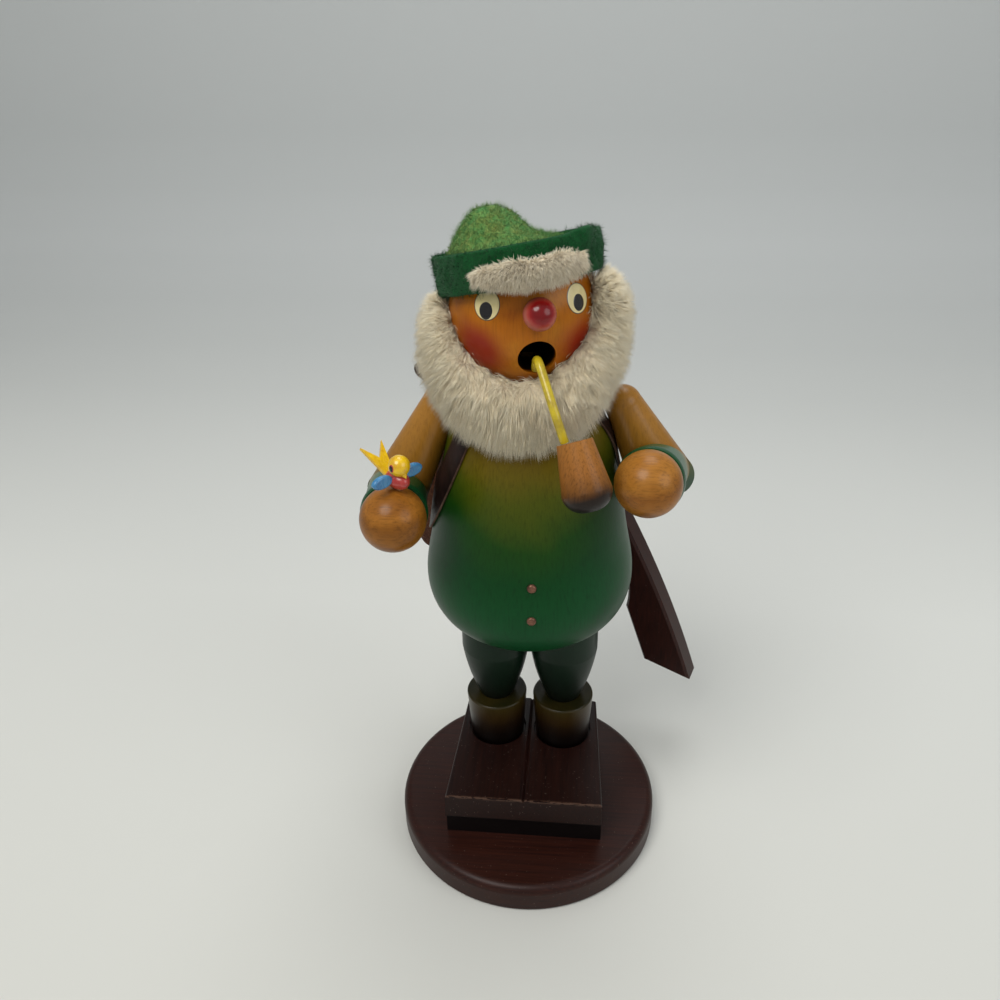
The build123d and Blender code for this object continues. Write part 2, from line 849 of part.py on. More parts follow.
bowl_direction = (bowl_top - bowl_bottom).normalized()
bowl_length = (bowl_top - bowl_bottom).length
belly = bowl_length * bowl_belly_share
with BuildPart() as pipe_bowl:
    with BuildSketch(axial_plane(bowl_bottom, bowl_direction)):
        with BuildLine():
            ThreePointArc(
                (0, 0),
                (bowl_radius * bowl_heel_shares[0], belly * bowl_heel_shares[1]),
                (bowl_radius, belly),
            )
            Polyline(
                (bowl_radius, belly),
                (bowl_top_radius, bowl_length),
                (bowl_well_radius, bowl_length),
                (bowl_well_radius, bowl_length - bowl_well_depth),
                (0, bowl_length - bowl_well_depth),
                (0, 0),
            )
        make_face()
    revolve(axis=Axis(bowl_bottom, bowl_direction))
    add(pipe_stem.part, mode=Mode.SUBTRACT)
keep(pipe_bowl, "pipe_bowl")

# Coat, drilled for its buttons
with BuildPart() as drilled_coat:
    add(coat_body.part)
    add(coat_buttons.part, mode=Mode.SUBTRACT)
keep(drilled_coat, "coat_body")

# Gun: the plane of its near face, with local X towards the butt and local Y up
gun_back = Vector(0, 1, 0).rotate(Axis.X, gun_pitch).rotate(Axis.Z, -gun_yaw)
gun_aside = Vector(1, 0, 0).rotate(Axis.Z, -gun_yaw)
gun_plane = Plane(origin=gun_origin, x_dir=gun_aside, z_dir=-gun_back)


def gun_line(angle):
    """A direction in the gun's plane, and the square direction towards its lower edge."""
    along = Vector(1, 0, 0).rotate(Axis.Z, angle)
    below = along.rotate(Axis.Z, 90 if math.cos(math.radians(angle)) < 0 else -90)
    return along, below


comb, comb_square = gun_line(comb_angle)
bore, bore_square = gun_line(barrel_angle)
heel = comb * butt_length
toe = comb * (butt_length - butt_slant) + comb_square * butt_width
comb_middle = comb * (butt_length / 2) - comb_square * comb_crown
belly_point = comb * (butt_length * belly_length_share) + comb_square * (butt_width * belly_width_share)
grip = (comb_square + bore_square).normalized() * grip_width
wrist_bottom = bore * wrist_length + bore_square * wrist_width
fore_end_bottom = bore * fore_end_length + bore_square * fore_end_width
fore_end_top = bore * fore_end_length

with BuildPart() as rifle_stock:
    with BuildSketch(gun_plane):
        with BuildLine():
            ThreePointArc((0, 0), comb_middle, heel)
            Polyline(heel, toe, belly_point)
            ThreePointArc(belly_point, grip, wrist_bottom)
            Polyline(wrist_bottom, fore_end_bottom, fore_end_top, (0, 0))
        make_face()
    extrude(amount=-gun_thickness)
    near_face = rifle_stock.faces().sort_by(Axis(gun_origin, gun_back))[0]
    far_face = rifle_stock.faces().sort_by(Axis(gun_origin, gun_back))[-1]
    chamfer(near_face.edges() + far_face.edges(), gun_edge_round)
keep(rifle_stock, "rifle_stock")

# Barrel: a narrower board let into the fore-end, rounded at the muzzle
barrel_inset = (gun_thickness - barrel_thickness) / 2
barrel_line = bore_square * (fore_end_width / 2)
muzzle_center = bore * (barrel_length - barrel_width / 2) + barrel_line
barrel_root = bore * fore_end_length + barrel_line
with BuildPart() as rifle_barrel:
    with BuildSketch(gun_plane.offset(-barrel_inset)):
        with BuildLine():
            Polyline(
                muzzle_center - bore_square * (barrel_width / 2),
                barrel_root - bore_square * (barrel_width / 2),
                barrel_root + bore_square * (barrel_width / 2),
                muzzle_center + bore_square * (barrel_width / 2),
            )
            ThreePointArc(
                muzzle_center + bore_square * (barrel_width / 2),
                muzzle_center + bore * (barrel_width / 2),
                muzzle_center - bore_square * (barrel_width / 2),
            )
        make_face()
    extrude(amount=-barrel_thickness)
keep(rifle_barrel, "rifle_barrel")

# Rucksack between the coat and the gun, let onto the coat's back
rucksack_back = Vector(0, 1, 0).rotate(Axis.Z, -rucksack_yaw)
rucksack_aside = Vector(1, 0, 0).rotate(Axis.Z, -rucksack_yaw)
rucksack_plane = Plane(origin=rucksack_center, x_dir=rucksack_aside, z_dir=-rucksack_back)
with BuildPart() as rucksack_body:
    with BuildSketch(rucksack_plane):
        RectangleRounded(rucksack_width, rucksack_height, rucksack_corner)
    extrude(amount=rucksack_depth)
    rear_face = rucksack_body.faces().sort_by(Axis(rucksack_center, rucksack_back))[-1]
    fillet(rear_face.edges(), rucksack_edge_round)
    add(coat_solid, mode=Mode.SUBTRACT)

# Flap: a skin over the rucksack's top and down its back
with BuildPart() as rucksack_flap:
    with BuildSketch(rucksack_plane.offset(-flap_thickness)):
        RectangleRounded(
            rucksack_width + 2 * flap_thickness,
            rucksack_height + 2 * flap_thickness,
            rucksack_corner + flap_thickness,
        )
    extrude(amount=rucksack_depth + flap_thickness)
    flap_rear = rucksack_flap.faces().sort_by(Axis(rucksack_center, rucksack_back))[-1]
    fillet(flap_rear.edges(), rucksack_edge_round)
    split(
        bisect_by=Plane.XY.offset(rucksack_center.Z + rucksack_height / 2 - flap_drop),
        keep=Keep.TOP,
    )
    add(rucksack_body.part, mode=Mode.SUBTRACT)
    add(coat_solid, mode=Mode.SUBTRACT)

# Straps: bands of leather cut from a skin that lies on the coat
strap_skin = coat_form(strap_thickness)
right_strap_point = Vector(right_strap_x, figure_y, coat_bottom_z + right_strap_height)
right_strap_normal = Vector(1, 0, 0).rotate(Axis.Y, right_strap_slope)
strap_size = 2 * coat_height


def strap_form(point, normal, growth=0):
    """A loop of leather round the coat in the plane through a point."""
    with BuildPart() as form:
        with BuildSketch(Plane(origin=point, z_dir=normal)):
            Rectangle(strap_size, strap_size)
        extrude(amount=strap_width / 2 + growth, both=True)
        add(strap_skin, mode=Mode.INTERSECT)
        add(coat_solid, mode=Mode.SUBTRACT)
    return form.part


right_loop = strap_form(right_strap_point, right_strap_normal)
left_loop = strap_form(left_strap_point, left_strap_normal)

# The left strap leaves the coat behind the arm and runs straight to the gun's butt
left_end = gun_plane.from_local_coords(comb * strap_meets_comb + comb_square * strap_meets_below)
tail_run = left_end - left_strap_leave
tail_normal = left_strap_normal.cross(tail_run).normalized()
with BuildPart() as left_strap:
    add(left_loop)
    split(bisect_by=Plane(origin=(left_strap_inner_x, 0, 0), z_dir=(1, 0, 0)), keep=Keep.TOP)
    split(bisect_by=Plane(origin=left_strap_leave, z_dir=-tail_run), keep=Keep.TOP)
    with BuildSketch(Plane(origin=left_strap_leave, x_dir=left_strap_normal, z_dir=tail_run)):
        Rectangle(strap_width, strap_thickness)
    extrude(amount=tail_run.length)
    for arm_piece in arm_pieces:
        add(arm_piece, mode=Mode.SUBTRACT)
    add(coat_solid, mode=Mode.SUBTRACT)
    add(rifle_stock.part, mode=Mode.SUBTRACT)
    add(rucksack_body.part, mode=Mode.SUBTRACT)
keep(left_strap, "left_strap")

with BuildPart() as right_strap:
    add(right_loop)
    add(head_form.part, mode=Mode.SUBTRACT)
    for arm_piece in arm_pieces:
        add(arm_piece, mode=Mode.SUBTRACT)
    add(left_strap.part, mode=Mode.SUBTRACT)
keep(right_strap, "right_strap")

for piece, name in ((rucksack_body, "rucksack_body"), (rucksack_flap, "rucksack_flap")):
    with BuildPart() as trimmed:
        add(piece.part)
        add(right_strap.part, mode=Mode.SUBTRACT)
        add(rifle_stock.part, mode=Mode.SUBTRACT)
    keep(trimmed, name)

# Sling end: a collar round the barrel and a tongue that hangs to the rucksack
sling_center = bore * sling_reach + barrel_line
with BuildPart() as rifle_sling:
    with BuildSketch(Plane(origin=gun_plane.from_local_coords(sling_center),
                           x_dir=gun_plane.to_local_coords(Vector(0, 0, 0)) * 0 + gun_back,
                           z_dir=gun_plane.from_local_coords(sling_center + bore)
                           - gun_plane.from_local_coords(sling_center))):
        with Locations((gun_thickness / 2, 0)):
            Rectangle(barrel_thickness + 2 * sling_thickness, barrel_width + 2 * sling_thickness)
            Rectangle(barrel_thickness, barrel_width, mode=Mode.SUBTRACT)
    extrude(amount=sling_width / 2, both=True)
keep(rifle_sling, "rifle_sling")

# The fur gives way to the stem, the arms and the straps
for piece, name in ((beard, "beard"), (back_hair, "back_hair")):
    with BuildPart() as trimmed:
        add(piece.part)
        for neighbour in (pipe_stem.part, left_strap.part, right_strap.part, *arm_pieces):
            add(neighbour, mode=Mode.SUBTRACT)
    keep(trimmed, name)
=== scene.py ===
import functools
import math

import bmesh
import bpy
import numpy as np
from mathutils import Matrix, Vector


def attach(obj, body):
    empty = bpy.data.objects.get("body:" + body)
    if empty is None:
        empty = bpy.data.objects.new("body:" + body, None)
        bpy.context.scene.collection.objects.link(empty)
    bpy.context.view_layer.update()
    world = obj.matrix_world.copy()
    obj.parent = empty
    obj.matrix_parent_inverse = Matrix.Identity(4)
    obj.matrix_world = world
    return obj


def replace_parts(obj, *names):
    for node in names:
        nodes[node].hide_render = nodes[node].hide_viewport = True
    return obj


# Looks of a turned wooden incense smoker, a huntsman with a pipe.
# Lengths are in millimetres and become metres where a mesh or a node is made.
# Right and left are the figure's own, so its right side is -X. It faces -Y.

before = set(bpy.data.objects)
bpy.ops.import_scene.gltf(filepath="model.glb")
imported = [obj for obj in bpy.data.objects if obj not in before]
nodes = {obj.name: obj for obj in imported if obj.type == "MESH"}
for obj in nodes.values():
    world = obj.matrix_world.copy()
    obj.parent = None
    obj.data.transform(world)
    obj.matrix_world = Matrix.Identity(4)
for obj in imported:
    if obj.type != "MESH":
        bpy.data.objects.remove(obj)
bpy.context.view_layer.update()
rng = np.random.default_rng(7)
MM = 0.001
TURN = 2 * math.pi
FIGURE_Y = 9.5
HEAD = np.array([-1.3, FIGURE_Y, 165.0])
HEAD_SIZE = np.array([18.5, 18.5, 19.5])
X_LEFT, Y_BACK, Z_UP = np.eye(3)
CHEEKS = (((-11.0, -5.5, 158.6), 10.6), ((14.5, -2.5, 159.6), 9.6))
NOSE_DIP = (4.6, -13.2, 171.1)


# Small helpers

def linear(colour):
    """An sRGB hex colour as linear RGBA, by the standard curve."""
    part = np.array([int(colour[i:i + 2], 16) for i in (1, 3, 5)]) / 255
    part = np.where(part <= 0.04045, part / 12.92, ((part + 0.055) / 1.055) ** 2.4)
    return (*part.tolist(), 1.0)


def unit(vectors):
    """Vectors shortened or drawn out to a length of 1."""
    return vectors / np.maximum(np.linalg.norm(vectors, axis=-1, keepdims=True), 1e-9)


def waves(points, size, seed):
    """Smooth noise from about -1 to 1: a sum of sine waves in random directions, each about size long."""
    source = np.random.default_rng(seed)
    count = 14
    direction = unit(source.normal(size=(count, 3))) * (TURN / size) * source.uniform(0.6, 1.5, (count, 1))
    phase = source.uniform(0, TURN, count)
    return np.sin(points @ direction.T + phase).sum(-1) / math.sqrt(count / 2) * 0.6


def swirl(points, size, seed):
    """A smooth random direction at each point, from three sets of waves."""
    return np.stack([waves(points, size, seed + k) for k in range(3)], -1)


def ring_grid(start, end, rows, columns):
    """Two parameters of a form: from start to end by rows, and once round each row's ring."""
    round_ring = np.linspace(0, TURN, columns, endpoint=False)
    return np.meshgrid(np.linspace(start, end, rows), round_ring, indexing="ij")


def curl(value, exponent):
    """A power that keeps the value's sign, which squares a circle off."""
    return np.sign(value) * np.abs(value) ** exponent


def wear(piece, material):
    """Gives a piece one material in place of what it had."""
    piece.data.materials.clear()
    piece.data.materials.append(material)


def in_scene(name, data):
    """A new object of a mesh, a lamp or a camera, in the scene."""
    made = bpy.data.objects.new(name, data)
    bpy.context.scene.collection.objects.link(made)
    return made


def smooth_mesh(name, points, faces):
    """A smooth mesh from points in millimetres and a list of faces."""
    mesh = bpy.data.meshes.new(name)
    mesh.from_pydata((np.asarray(points) * MM).tolist(), [], faces)
    mesh.validate()
    mesh.polygons.foreach_set("use_smooth", np.full(len(mesh.polygons), True))
    return mesh


def make_piece(name, points, faces, material, tone=None):
    """A smooth piece on the coat's body, with a tone at each point where its material reads one."""
    mesh = smooth_mesh(name, points, faces)
    if tone is not None:
        mesh.attributes.new("tone", "FLOAT", "POINT").data.foreach_set("value", np.asarray(tone, np.float32))
    piece = in_scene(name, mesh)
    wear(piece, material)
    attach(piece, "coat")
    return piece


def grid_faces(rows, columns, wrap_rows=False, wrap_columns=False, start=0):
    """Quads between neighbouring points of a grid, joined round where it wraps."""
    i = np.arange(rows if wrap_rows else rows - 1)[:, None]
    j = np.arange(columns if wrap_columns else columns - 1)[None, :]
    i, j = np.broadcast_arrays(i, j)
    below, beside = (i + 1) % rows, (j + 1) % columns
    corners = [i * columns + j, i * columns + beside, below * columns + beside, below * columns + j]
    return (np.stack(corners, -1).reshape(-1, 4) + start).tolist()


def outward(piece):
    """Merges doubles and turns the faces outwards."""
    made = bmesh.new()
    made.from_mesh(piece.data)
    bmesh.ops.remove_doubles(made, verts=made.verts, dist=1e-6)
    bmesh.ops.recalc_face_normals(made, faces=made.faces)
    made.to_mesh(piece.data)
    made.free()
    return piece


def ringed_piece(name, grid, material, tone=None):
    """A piece from a grid whose rows are closed rings."""
    rows, columns = grid.shape[:2]
    tone = None if tone is None else np.full(rows * columns, tone)
    faces = grid_faces(rows, columns, wrap_columns=True)
    return outward(make_piece(name, grid.reshape(-1, 3), faces, material, tone))


# Camera, as the photograph was taken

CAMERA_PLACE = Vector((15.58, -211.18, 238.04))
CAMERA_RIGHT = Vector((0.9952, 0.0964, -0.0185)).normalized()
CAMERA_AHEAD = Vector((-0.0926, 0.8599, -0.5019)).normalized()
SENSOR_WIDTH, LENS = 36.0, 33.144
camera_up = CAMERA_RIGHT.cross(CAMERA_AHEAD).normalized()
camera_right = CAMERA_AHEAD.cross(camera_up).normalized()
turned = Matrix((camera_right, camera_up, -CAMERA_AHEAD)).transposed()
camera = in_scene("camera", bpy.data.cameras.new("camera"))
camera.matrix_world = Matrix.Translation(CAMERA_PLACE * MM) @ turned.to_4x4()
camera.data.sensor_width = SENSOR_WIDTH
camera.data.lens = LENS
camera.data.clip_start = 0.005
camera.data.clip_end = 10.0
bpy.context.scene.camera = camera


# Materials. Sockets by number: a Mix has its share at 0 and its colours at 6 and 7. A MapRange has its value
# at 0, the range it comes from at 1 and 2, and the one it goes to at 3 and 4

BLEND = {"output": 2, "data_type": "RGBA"}
MULTIPLY = {"blend_type": "MULTIPLY", **BLEND}
SMOOTH = {"interpolation_type": "SMOOTHSTEP"}


def add_node(tree, kind, inputs, output=0, stops=(), **settings):
    """Adds a shader node with its settings and links, and gives one of its outputs. An input is a value, a
    hex colour or another node's output, and stops are a colour ramp's places and hex colours."""
    made = tree.nodes.new("ShaderNode" + kind)
    for key, value in settings.items():
        setattr(made, key, value)
    for key, value in inputs.items():
        if isinstance(value, bpy.types.NodeSocket):
            tree.links.new(value, made.inputs[key])
        else:
            made.inputs[key].default_value = linear(value) if isinstance(value, str) else value
    if stops:
        band = made.color_ramp.elements
        while len(band) < len(stops):
            band.new(1.0)
        for element, (place, colour) in zip(band, stops):
            element.position, element.color = place, linear(colour)
    return made.outputs[output] if len(made.outputs) else None


def in_mm(add, stretch=(1, 1, 1)):
    """Object coordinates in millimetres, stretched for a pattern."""
    where = add("TexCoord", {}, "Object")
    return add("Mapping", {"Vector": where, "Scale": [s / MM for s in stretch]})


def new_material(name):
    """An empty material, what adds a node to it, and its object coordinates in millimetres."""
    made = bpy.data.materials.new(name)
    made.use_nodes = True
    made.node_tree.nodes.clear()
    add = functools.partial(add_node, made.node_tree)
    return made, add, in_mm(add)


def finish_with(add, colour, roughness, height=None, bump=0.05, strength=0.5, coat=(0.0, 0.03),
                specular=0.5, sheen=(0.0, 0.5), metallic=0.0):
    """Ends a material: a principled shader, with a bump of a real height in millimetres. A coat of lacquer and
    a sheen of fibres have a weight and a roughness each."""
    inputs = {"Base Color": colour, "Roughness": roughness, "Metallic": metallic,
              "Specular IOR Level": specular, "Coat Weight": coat[0], "Coat Roughness": coat[1],
              "Sheen Weight": sheen[0], "Sheen Roughness": sheen[1]}
    if height is not None:
        inputs["Normal"] = add("Bump", {"Height": height, "Strength": strength, "Distance": bump * MM})
    add("OutputMaterial", {0: add("BsdfPrincipled", inputs)})


def along_grain(grain, across, along):
    """A stretch for long fibres: waves to the millimetre across the grain's axis and along it."""
    return [along if axis == grain else across for axis in "XYZ"]


def wood_grain(add, colour, grain, share):
    """A colour darkened by fibres about half a millimetre across and 10 mm long, and the fibres."""
    fibre = add("TexNoise", {"Vector": in_mm(add, along_grain(grain, 2.2, 0.10)), "Scale": 1, "Detail": 4,
                             "Roughness": 0.6})
    shade = add("ValToRGB", {"Fac": fibre}, stops=[(0.30, "#8C8C8C"), (0.50, "#EDEDED"), (0.72, "#FFFFFF")])
    return add("Mix", {0: share, 6: colour, 7: shade}, **MULTIPLY), fibre


def lacquered_wood(name, stops, origin, direction, length, grain, waver=(0.06, 14.0), share=0.22,
                   roughness=0.36, coat=0.35, side_rise=0.0):
    """Turned beech or lime, sprayed with thin colour under lacquer, so the grain shows through.
    The colour runs from stop to stop along a direction, and wavers as a spray gun's edge does: by a share of
    the run, in clouds of a size. Where side_rise is given, it falls off with the square of x."""
    made, add, where = new_material(name)
    along = add("VectorMath", {0: where, 1: [d / length for d in direction]}, "Value",
                operation="DOT_PRODUCT")
    start = sum(o * d for o, d in zip(origin, direction)) / length
    cloud = add("TexNoise", {"Vector": where, "Scale": 1 / waver[1], "Detail": 2})
    run = add("Math", {0: along, 1: start + waver[0]}, operation="SUBTRACT")
    run = add("Math", {0: cloud, 1: waver[0] * 2, 2: run}, operation="MULTIPLY_ADD")
    if side_rise:
        aside = add("Math", {0: add("SeparateXYZ", {0: where}), 1: 26.0}, operation="DIVIDE")
        aside = add("Math", {0: aside, 1: aside}, operation="MULTIPLY")
        run = add("Math", {0: aside, 1: -side_rise, 2: run}, operation="MULTIPLY_ADD")
    colour, fibre = wood_grain(add, add("ValToRGB", {"Fac": run}, stops=stops), grain, share)
    pores = add("TexNoise", {"Vector": in_mm(add, along_grain(grain, 5.28, 0.24)), "Scale": 1, "Detail": 2})
    flecks = add("ValToRGB", {"Fac": pores}, stops=[(0.66, "#FFFFFF"), (0.74, "#7A7A7A")])
    colour = add("Mix", {0: share * 0.9, 6: colour, 7: flecks}, **MULTIPLY)
    gloss = add("MapRange", {0: fibre, 3: roughness - 0.05, 4: roughness + 0.09})
    finish_with(add, colour, gloss, fibre, 0.03, 0.35, coat=(coat, 0.22), specular=0.14)
    return made


def stained_wood(name, colour, light, grain, roughness=0.38, sole_z=None, toe_y=None):
    """Beech stained nearly black-brown under a satin lacquer: long faint grain, dust specks and soft sheen.
    A shoe is black below its sole's top, with a painted highlight in patches on its toe's upturned bevel."""
    made, add, where = new_material(name)
    streak = add("TexNoise", {"Vector": in_mm(add, along_grain(grain, 1.6, 0.05)), "Scale": 1, "Detail": 5,
                              "Roughness": 0.6, "Distortion": 0.3})
    cloud = add("TexNoise", {"Vector": where, "Scale": 0.06, "Detail": 2})
    base = add("ValToRGB", {"Fac": streak}, stops=[(0.30, colour), (0.75, light)])
    base = add("Mix", {0: cloud, 6: base, 7: "#C9B7B0"}, **MULTIPLY)
    speck = add("TexNoise", {"Vector": where, "Scale": 1.9, "Detail": 1})
    dust = add("Math", {0: speck, 1: 0.745}, operation="GREATER_THAN")
    dust = add("Math", {0: dust, 1: 0.28}, operation="MULTIPLY")
    base = add("Mix", {0: dust, 6: base, 7: "#8A7A70"}, **BLEND)
    if sole_z:
        y, z = (add("SeparateXYZ", {0: where}, axis) for axis in (1, 2))
        sole = add("MapRange", {0: z, 1: sole_z + 0.3, 2: sole_z - 0.3})
        base = add("Mix", {0: sole, 6: base, 7: "#0C0707"}, **BLEND)
        # Painted highlight: pale patches along the top of the toe's bevel, where it faces up into the light
        high = add("MapRange", {0: z, 1: sole_z + 6.2, 2: sole_z + 7.1})
        fore = add("MapRange", {0: y, 1: toe_y + 0.9, 2: toe_y + 0.3, 4: 0.35})
        patch = add("TexNoise", {"Vector": in_mm(add, (0.5, 2, 2)), "Scale": 1, "Detail": 4})
        painted_bevel_highlight = add("Math", {0: patch, 1: 0.46}, operation="GREATER_THAN")
        for share in (high, fore):
            painted_bevel_highlight = add("Math", {0: painted_bevel_highlight, 1: share}, operation="MULTIPLY")
        base = add("Mix", {0: painted_bevel_highlight, 6: base, 7: "#8A6A58"}, **BLEND)
    gloss = add("MapRange", {0: streak, 3: roughness - 0.06, 4: roughness + 0.12})
    finish_with(add, base, gloss, streak, 0.04, 0.3, coat=(0.08, 0.3), specular=0.18)
    return made


coat_lacquer = lacquered_wood(
    "green_sprayed_lacquer_on_lime_wood",
    [(0.0, "#043A1C"), (0.12, "#054621"), (0.34, "#043C15"), (0.48, "#163F0A"), (0.64, "#49500A"),
     (0.80, "#725A12"), (1.0, "#90661E")],
    (0, 0, 74), (0, 0, 1), 76.0, "Z", (0.10, 22.0), share=0.38, coat=0.04, side_rise=0.14)
right_arm_lacquer = lacquered_wood(
    "honey_lacquer_right_arm", [(0.0, "#0C4420"), (0.28, "#46551A"), (0.52, "#96661E"), (1.0, "#A8742A")],
    (-32, 8, 103), (0.25, 0.0, 0.97), 33.0, "Z", (0.06, 12.0), share=0.35)
left_arm_lacquer = lacquered_wood(
    "honey_lacquer_left_arm", [(0.0, "#0C4420"), (0.24, "#46551A"), (0.46, "#96661E"), (1.0, "#A8742A")],
    (36, 8, 108), (-0.35, 0.0, 0.94), 31.0, "Z", (0.06, 12.0), share=0.35)
CUFF_STOPS = [(0.0, "#7A641C"), (0.35, "#1C5424"), (0.8, "#0C4A26"), (1.0, "#0A4422")]
right_sleeve_lacquer = lacquered_wood(
    "green_lacquer_right_cuff", CUFF_STOPS,
    (-36, 6, 112), (0.1, -0.93, 0.3), 22.0, "Y", (0.05, 10.0), share=0.3)
left_sleeve_lacquer = lacquered_wood(
    "green_lacquer_left_cuff", CUFF_STOPS,
    (35, 9, 119), (-0.1, -0.93, 0.3), 20.0, "Y", (0.05, 10.0), share=0.3)
leg_lacquer = lacquered_wood(
    "dark_green_lacquer_legs", [(0.0, "#070A06"), (0.35, "#081A0F"), (1.0, "#0A2A18")],
    (0, 0, 40), (0, 0, 1), 36.0, "Z", (0.05, 10.0), share=0.3, roughness=0.4, coat=0.14)
boot_lacquer = lacquered_wood(
    "olive_brown_lacquer_boots",
    [(0.0, "#040202"), (0.28, "#0E0704"), (0.50, "#1E1207"), (0.70, "#30210A"), (0.93, "#362B0E"),
     (1.0, "#151B0A")],
    (0, 0, 24), (0, 0, 1), 17.0, "Z", (0.05, 8.0), share=0.3, roughness=0.3, coat=0.22)
hand_lacquer = lacquered_wood(
    "clear_lacquered_beech_hands",
    [(0.0, "#744410"), (0.22, "#9A6220"), (0.38, "#804E14"), (0.52, "#A26824"), (0.66, "#8A5418"),
     (0.80, "#A8702C"), (1.0, "#A26A28")],
    (0, 0, 110), (0, 0, 1), 28.0, "X", (0.22, 7.0), share=0.55, roughness=0.34, coat=0.2)
bowl_lacquer = lacquered_wood(
    "clear_lacquered_beech_bowl",
    [(0.0, "#120C0C"), (0.20, "#241812"), (0.38, "#774A1A"), (0.60, "#965F26"), (1.0, "#A2692C")],
    (17.0, -27.6, 128.2), (-0.27, 0.42, 0.87), 16.5, "Z", (0.05, 6.0), share=0.6, roughness=0.42, coat=0.2)
plain_wood = lacquered_wood(
    "unpainted_beech", [(0.0, "#CFAE80"), (1.0, "#D8B98C")],
    (0, 0, 74), (0, 0, 1), 6.0, "Z", (0.2, 9.0), share=0.15, roughness=0.6, coat=0.0)
base_stain = stained_wood("dark_stained_beech_base", "#240F0B", "#3C1C12", "X")
shoe_stain = stained_wood("dark_stained_beech_shoes", "#160806", "#29110A", "Y", sole_z=17.3, toe_y=-21.2)
gun_stain = stained_wood("dark_stained_beech_gun", "#260F0B", "#421D14", "Z", 0.42)


def face_material():
    """Honey lacquer with airbrushed cheeks, each a soft round of red, and painted shade that turns the mouth's
    hole nearly black just inside it.
    """
    made, add, where = new_material("honey_sprayed_lacquer_on_lime_wood")
    cloud = add("TexNoise", {"Vector": where, "Scale": 0.10, "Detail": 2})
    colour = add("ValToRGB", {"Fac": cloud}, stops=[(0.30, "#9A5206"), (0.50, "#AE640A"), (0.70, "#BA7414")])
    colour, fibre = wood_grain(add, colour, "Z", 0.30)
    for centre, size in CHEEKS:
        reach = add("VectorMath", {0: where, 1: centre}, "Value", operation="DISTANCE")
        soft = add("MapRange", {0: reach, 1: size, 2: size * 0.25, 4: 0.92}, **SMOOTH)
        colour = add("Mix", {0: soft, 6: colour, 7: "#840F05"}, **BLEND)
    # Painted shade: the wall of the mouth's hole darkens to nearly black just inside the head's surface
    reach = add("VectorMath", {0: where, 1: HEAD}, "Value", operation="DISTANCE")
    inside = add("MapRange", {0: reach, 1: 18.15, 2: 17.2})
    colour = add("Mix", {0: inside, 6: colour, 7: "#1C100C"}, **BLEND)
    gloss = add("MapRange", {0: fibre, 3: 0.30, 4: 0.42})
    finish_with(add, colour, gloss, fibre, 0.03, 0.35, coat=(0.2, 0.18), specular=0.12)
    return made


def enamel(name, colour, deep, roughness=0.25):
    """Brushed gloss enamel on wood: thin and thick places differ a little in tone."""
    made, add, where = new_material(name)
    cloud = add("TexNoise", {"Vector": where, "Scale": 0.45, "Detail": 3})
    brush = add("TexNoise", {"Vector": in_mm(add, (1.5, 1.5, 0.5)), "Scale": 1, "Detail": 3})
    tone = add("ValToRGB", {"Fac": cloud}, stops=[(0.32, deep), (0.62, colour)])
    gloss = add("MapRange", {0: brush, 3: roughness - 0.05, 4: roughness + 0.1})
    finish_with(add, tone, gloss, brush, 0.04, 0.3, coat=(0.4, 0.15))
    return made


stem_enamel = enamel("yellow_enamel_stem", "#C9B31E", "#A8901A", 0.35)
bird_yellow = enamel("yellow_enamel_bird", "#E8BE12", "#D2A010")
bird_red = enamel("red_enamel_bird", "#B8443C", "#A02C28")
bird_blue = enamel("blue_enamel_bird", "#3F86B4", "#2E6A9C")
eye_cream = enamel("cream_enamel_eye", "#E8D8A0", "#DCCB8E", 0.3)
eye_black = enamel("black_enamel_pupil", "#0E0B0C", "#090808", 0.2)
eye_line = enamel("dark_brown_enamel_outline", "#3A2412", "#2A1A0E", 0.3)


def nose_material():
    """Rose enamel, dipped in a deeper red that fades out with the distance from the front."""
    made, add, where = new_material("red_enamel_nose")
    reach = add("VectorMath", {0: where, 1: NOSE_DIP}, "Value", operation="DISTANCE")
    red = add("MapRange", {0: reach, 1: 4.6, 2: 1.6}, **SMOOTH)
    colour = add("ValToRGB", {"Fac": red},
                 stops=[(0.0, "#A8584A"), (0.30, "#A63C30"), (0.70, "#860C0E"), (1.0, "#6E0609")])
    brush = add("TexNoise", {"Vector": where, "Scale": 0.6, "Detail": 3})
    finish_with(add, colour, 0.22, brush, 0.04, 0.25, coat=(0.4, 0.12), specular=0.25)
    return made


def worn_metal(name, scale, broken, stops, gloss, bump, strength, metallic):
    """Metal whose tone and gloss change together in soft patches, as rubbing or heat leaves it."""
    made, add, where = new_material(name)
    patch = add("TexNoise", {"Vector": where, "Scale": scale, "Detail": 4, "Roughness": broken})
    tone = add("ValToRGB", {"Fac": patch}, stops=stops)
    gloss = add("MapRange", {0: patch, 3: gloss[0], 4: gloss[1]})
    finish_with(add, tone, gloss, patch, bump, strength, metallic=metallic)
    return made


button_bronze = worn_metal("bronzed_brass_nails", 0.9, 0.6, [(0.3, "#5E4034"), (0.7, "#8C6450")], (0.34, 0.5),
                           0.05, 0.4, 0.75)
tinplate = worn_metal("tinplate_dulled_by_heat", 0.35, 0.5, [(0.3, "#7C746A"), (0.7, "#BDB9B2")], (0.28, 0.5),
                      0.03, 0.3, 1.0)


def leather(name, colour, light, roughness=0.4):
    """Smooth cowhide: fine pebble of about 0.35 mm, with paler pulls."""
    made, add, where = new_material(name)
    pebble = add("TexVoronoi", {"Vector": where, "Scale": 2.6}, feature="DISTANCE_TO_EDGE")
    cloud = add("TexNoise", {"Vector": where, "Scale": 0.30, "Detail": 4})
    tone = add("ValToRGB", {"Fac": cloud}, stops=[(0.32, colour), (0.72, light)])
    crease = add("MapRange", {0: pebble, 2: 0.12})
    gloss = add("MapRange", {0: cloud, 3: roughness - 0.06, 4: roughness + 0.1})
    finish_with(add, tone, gloss, crease, 0.03, 0.4, specular=0.2)
    return made


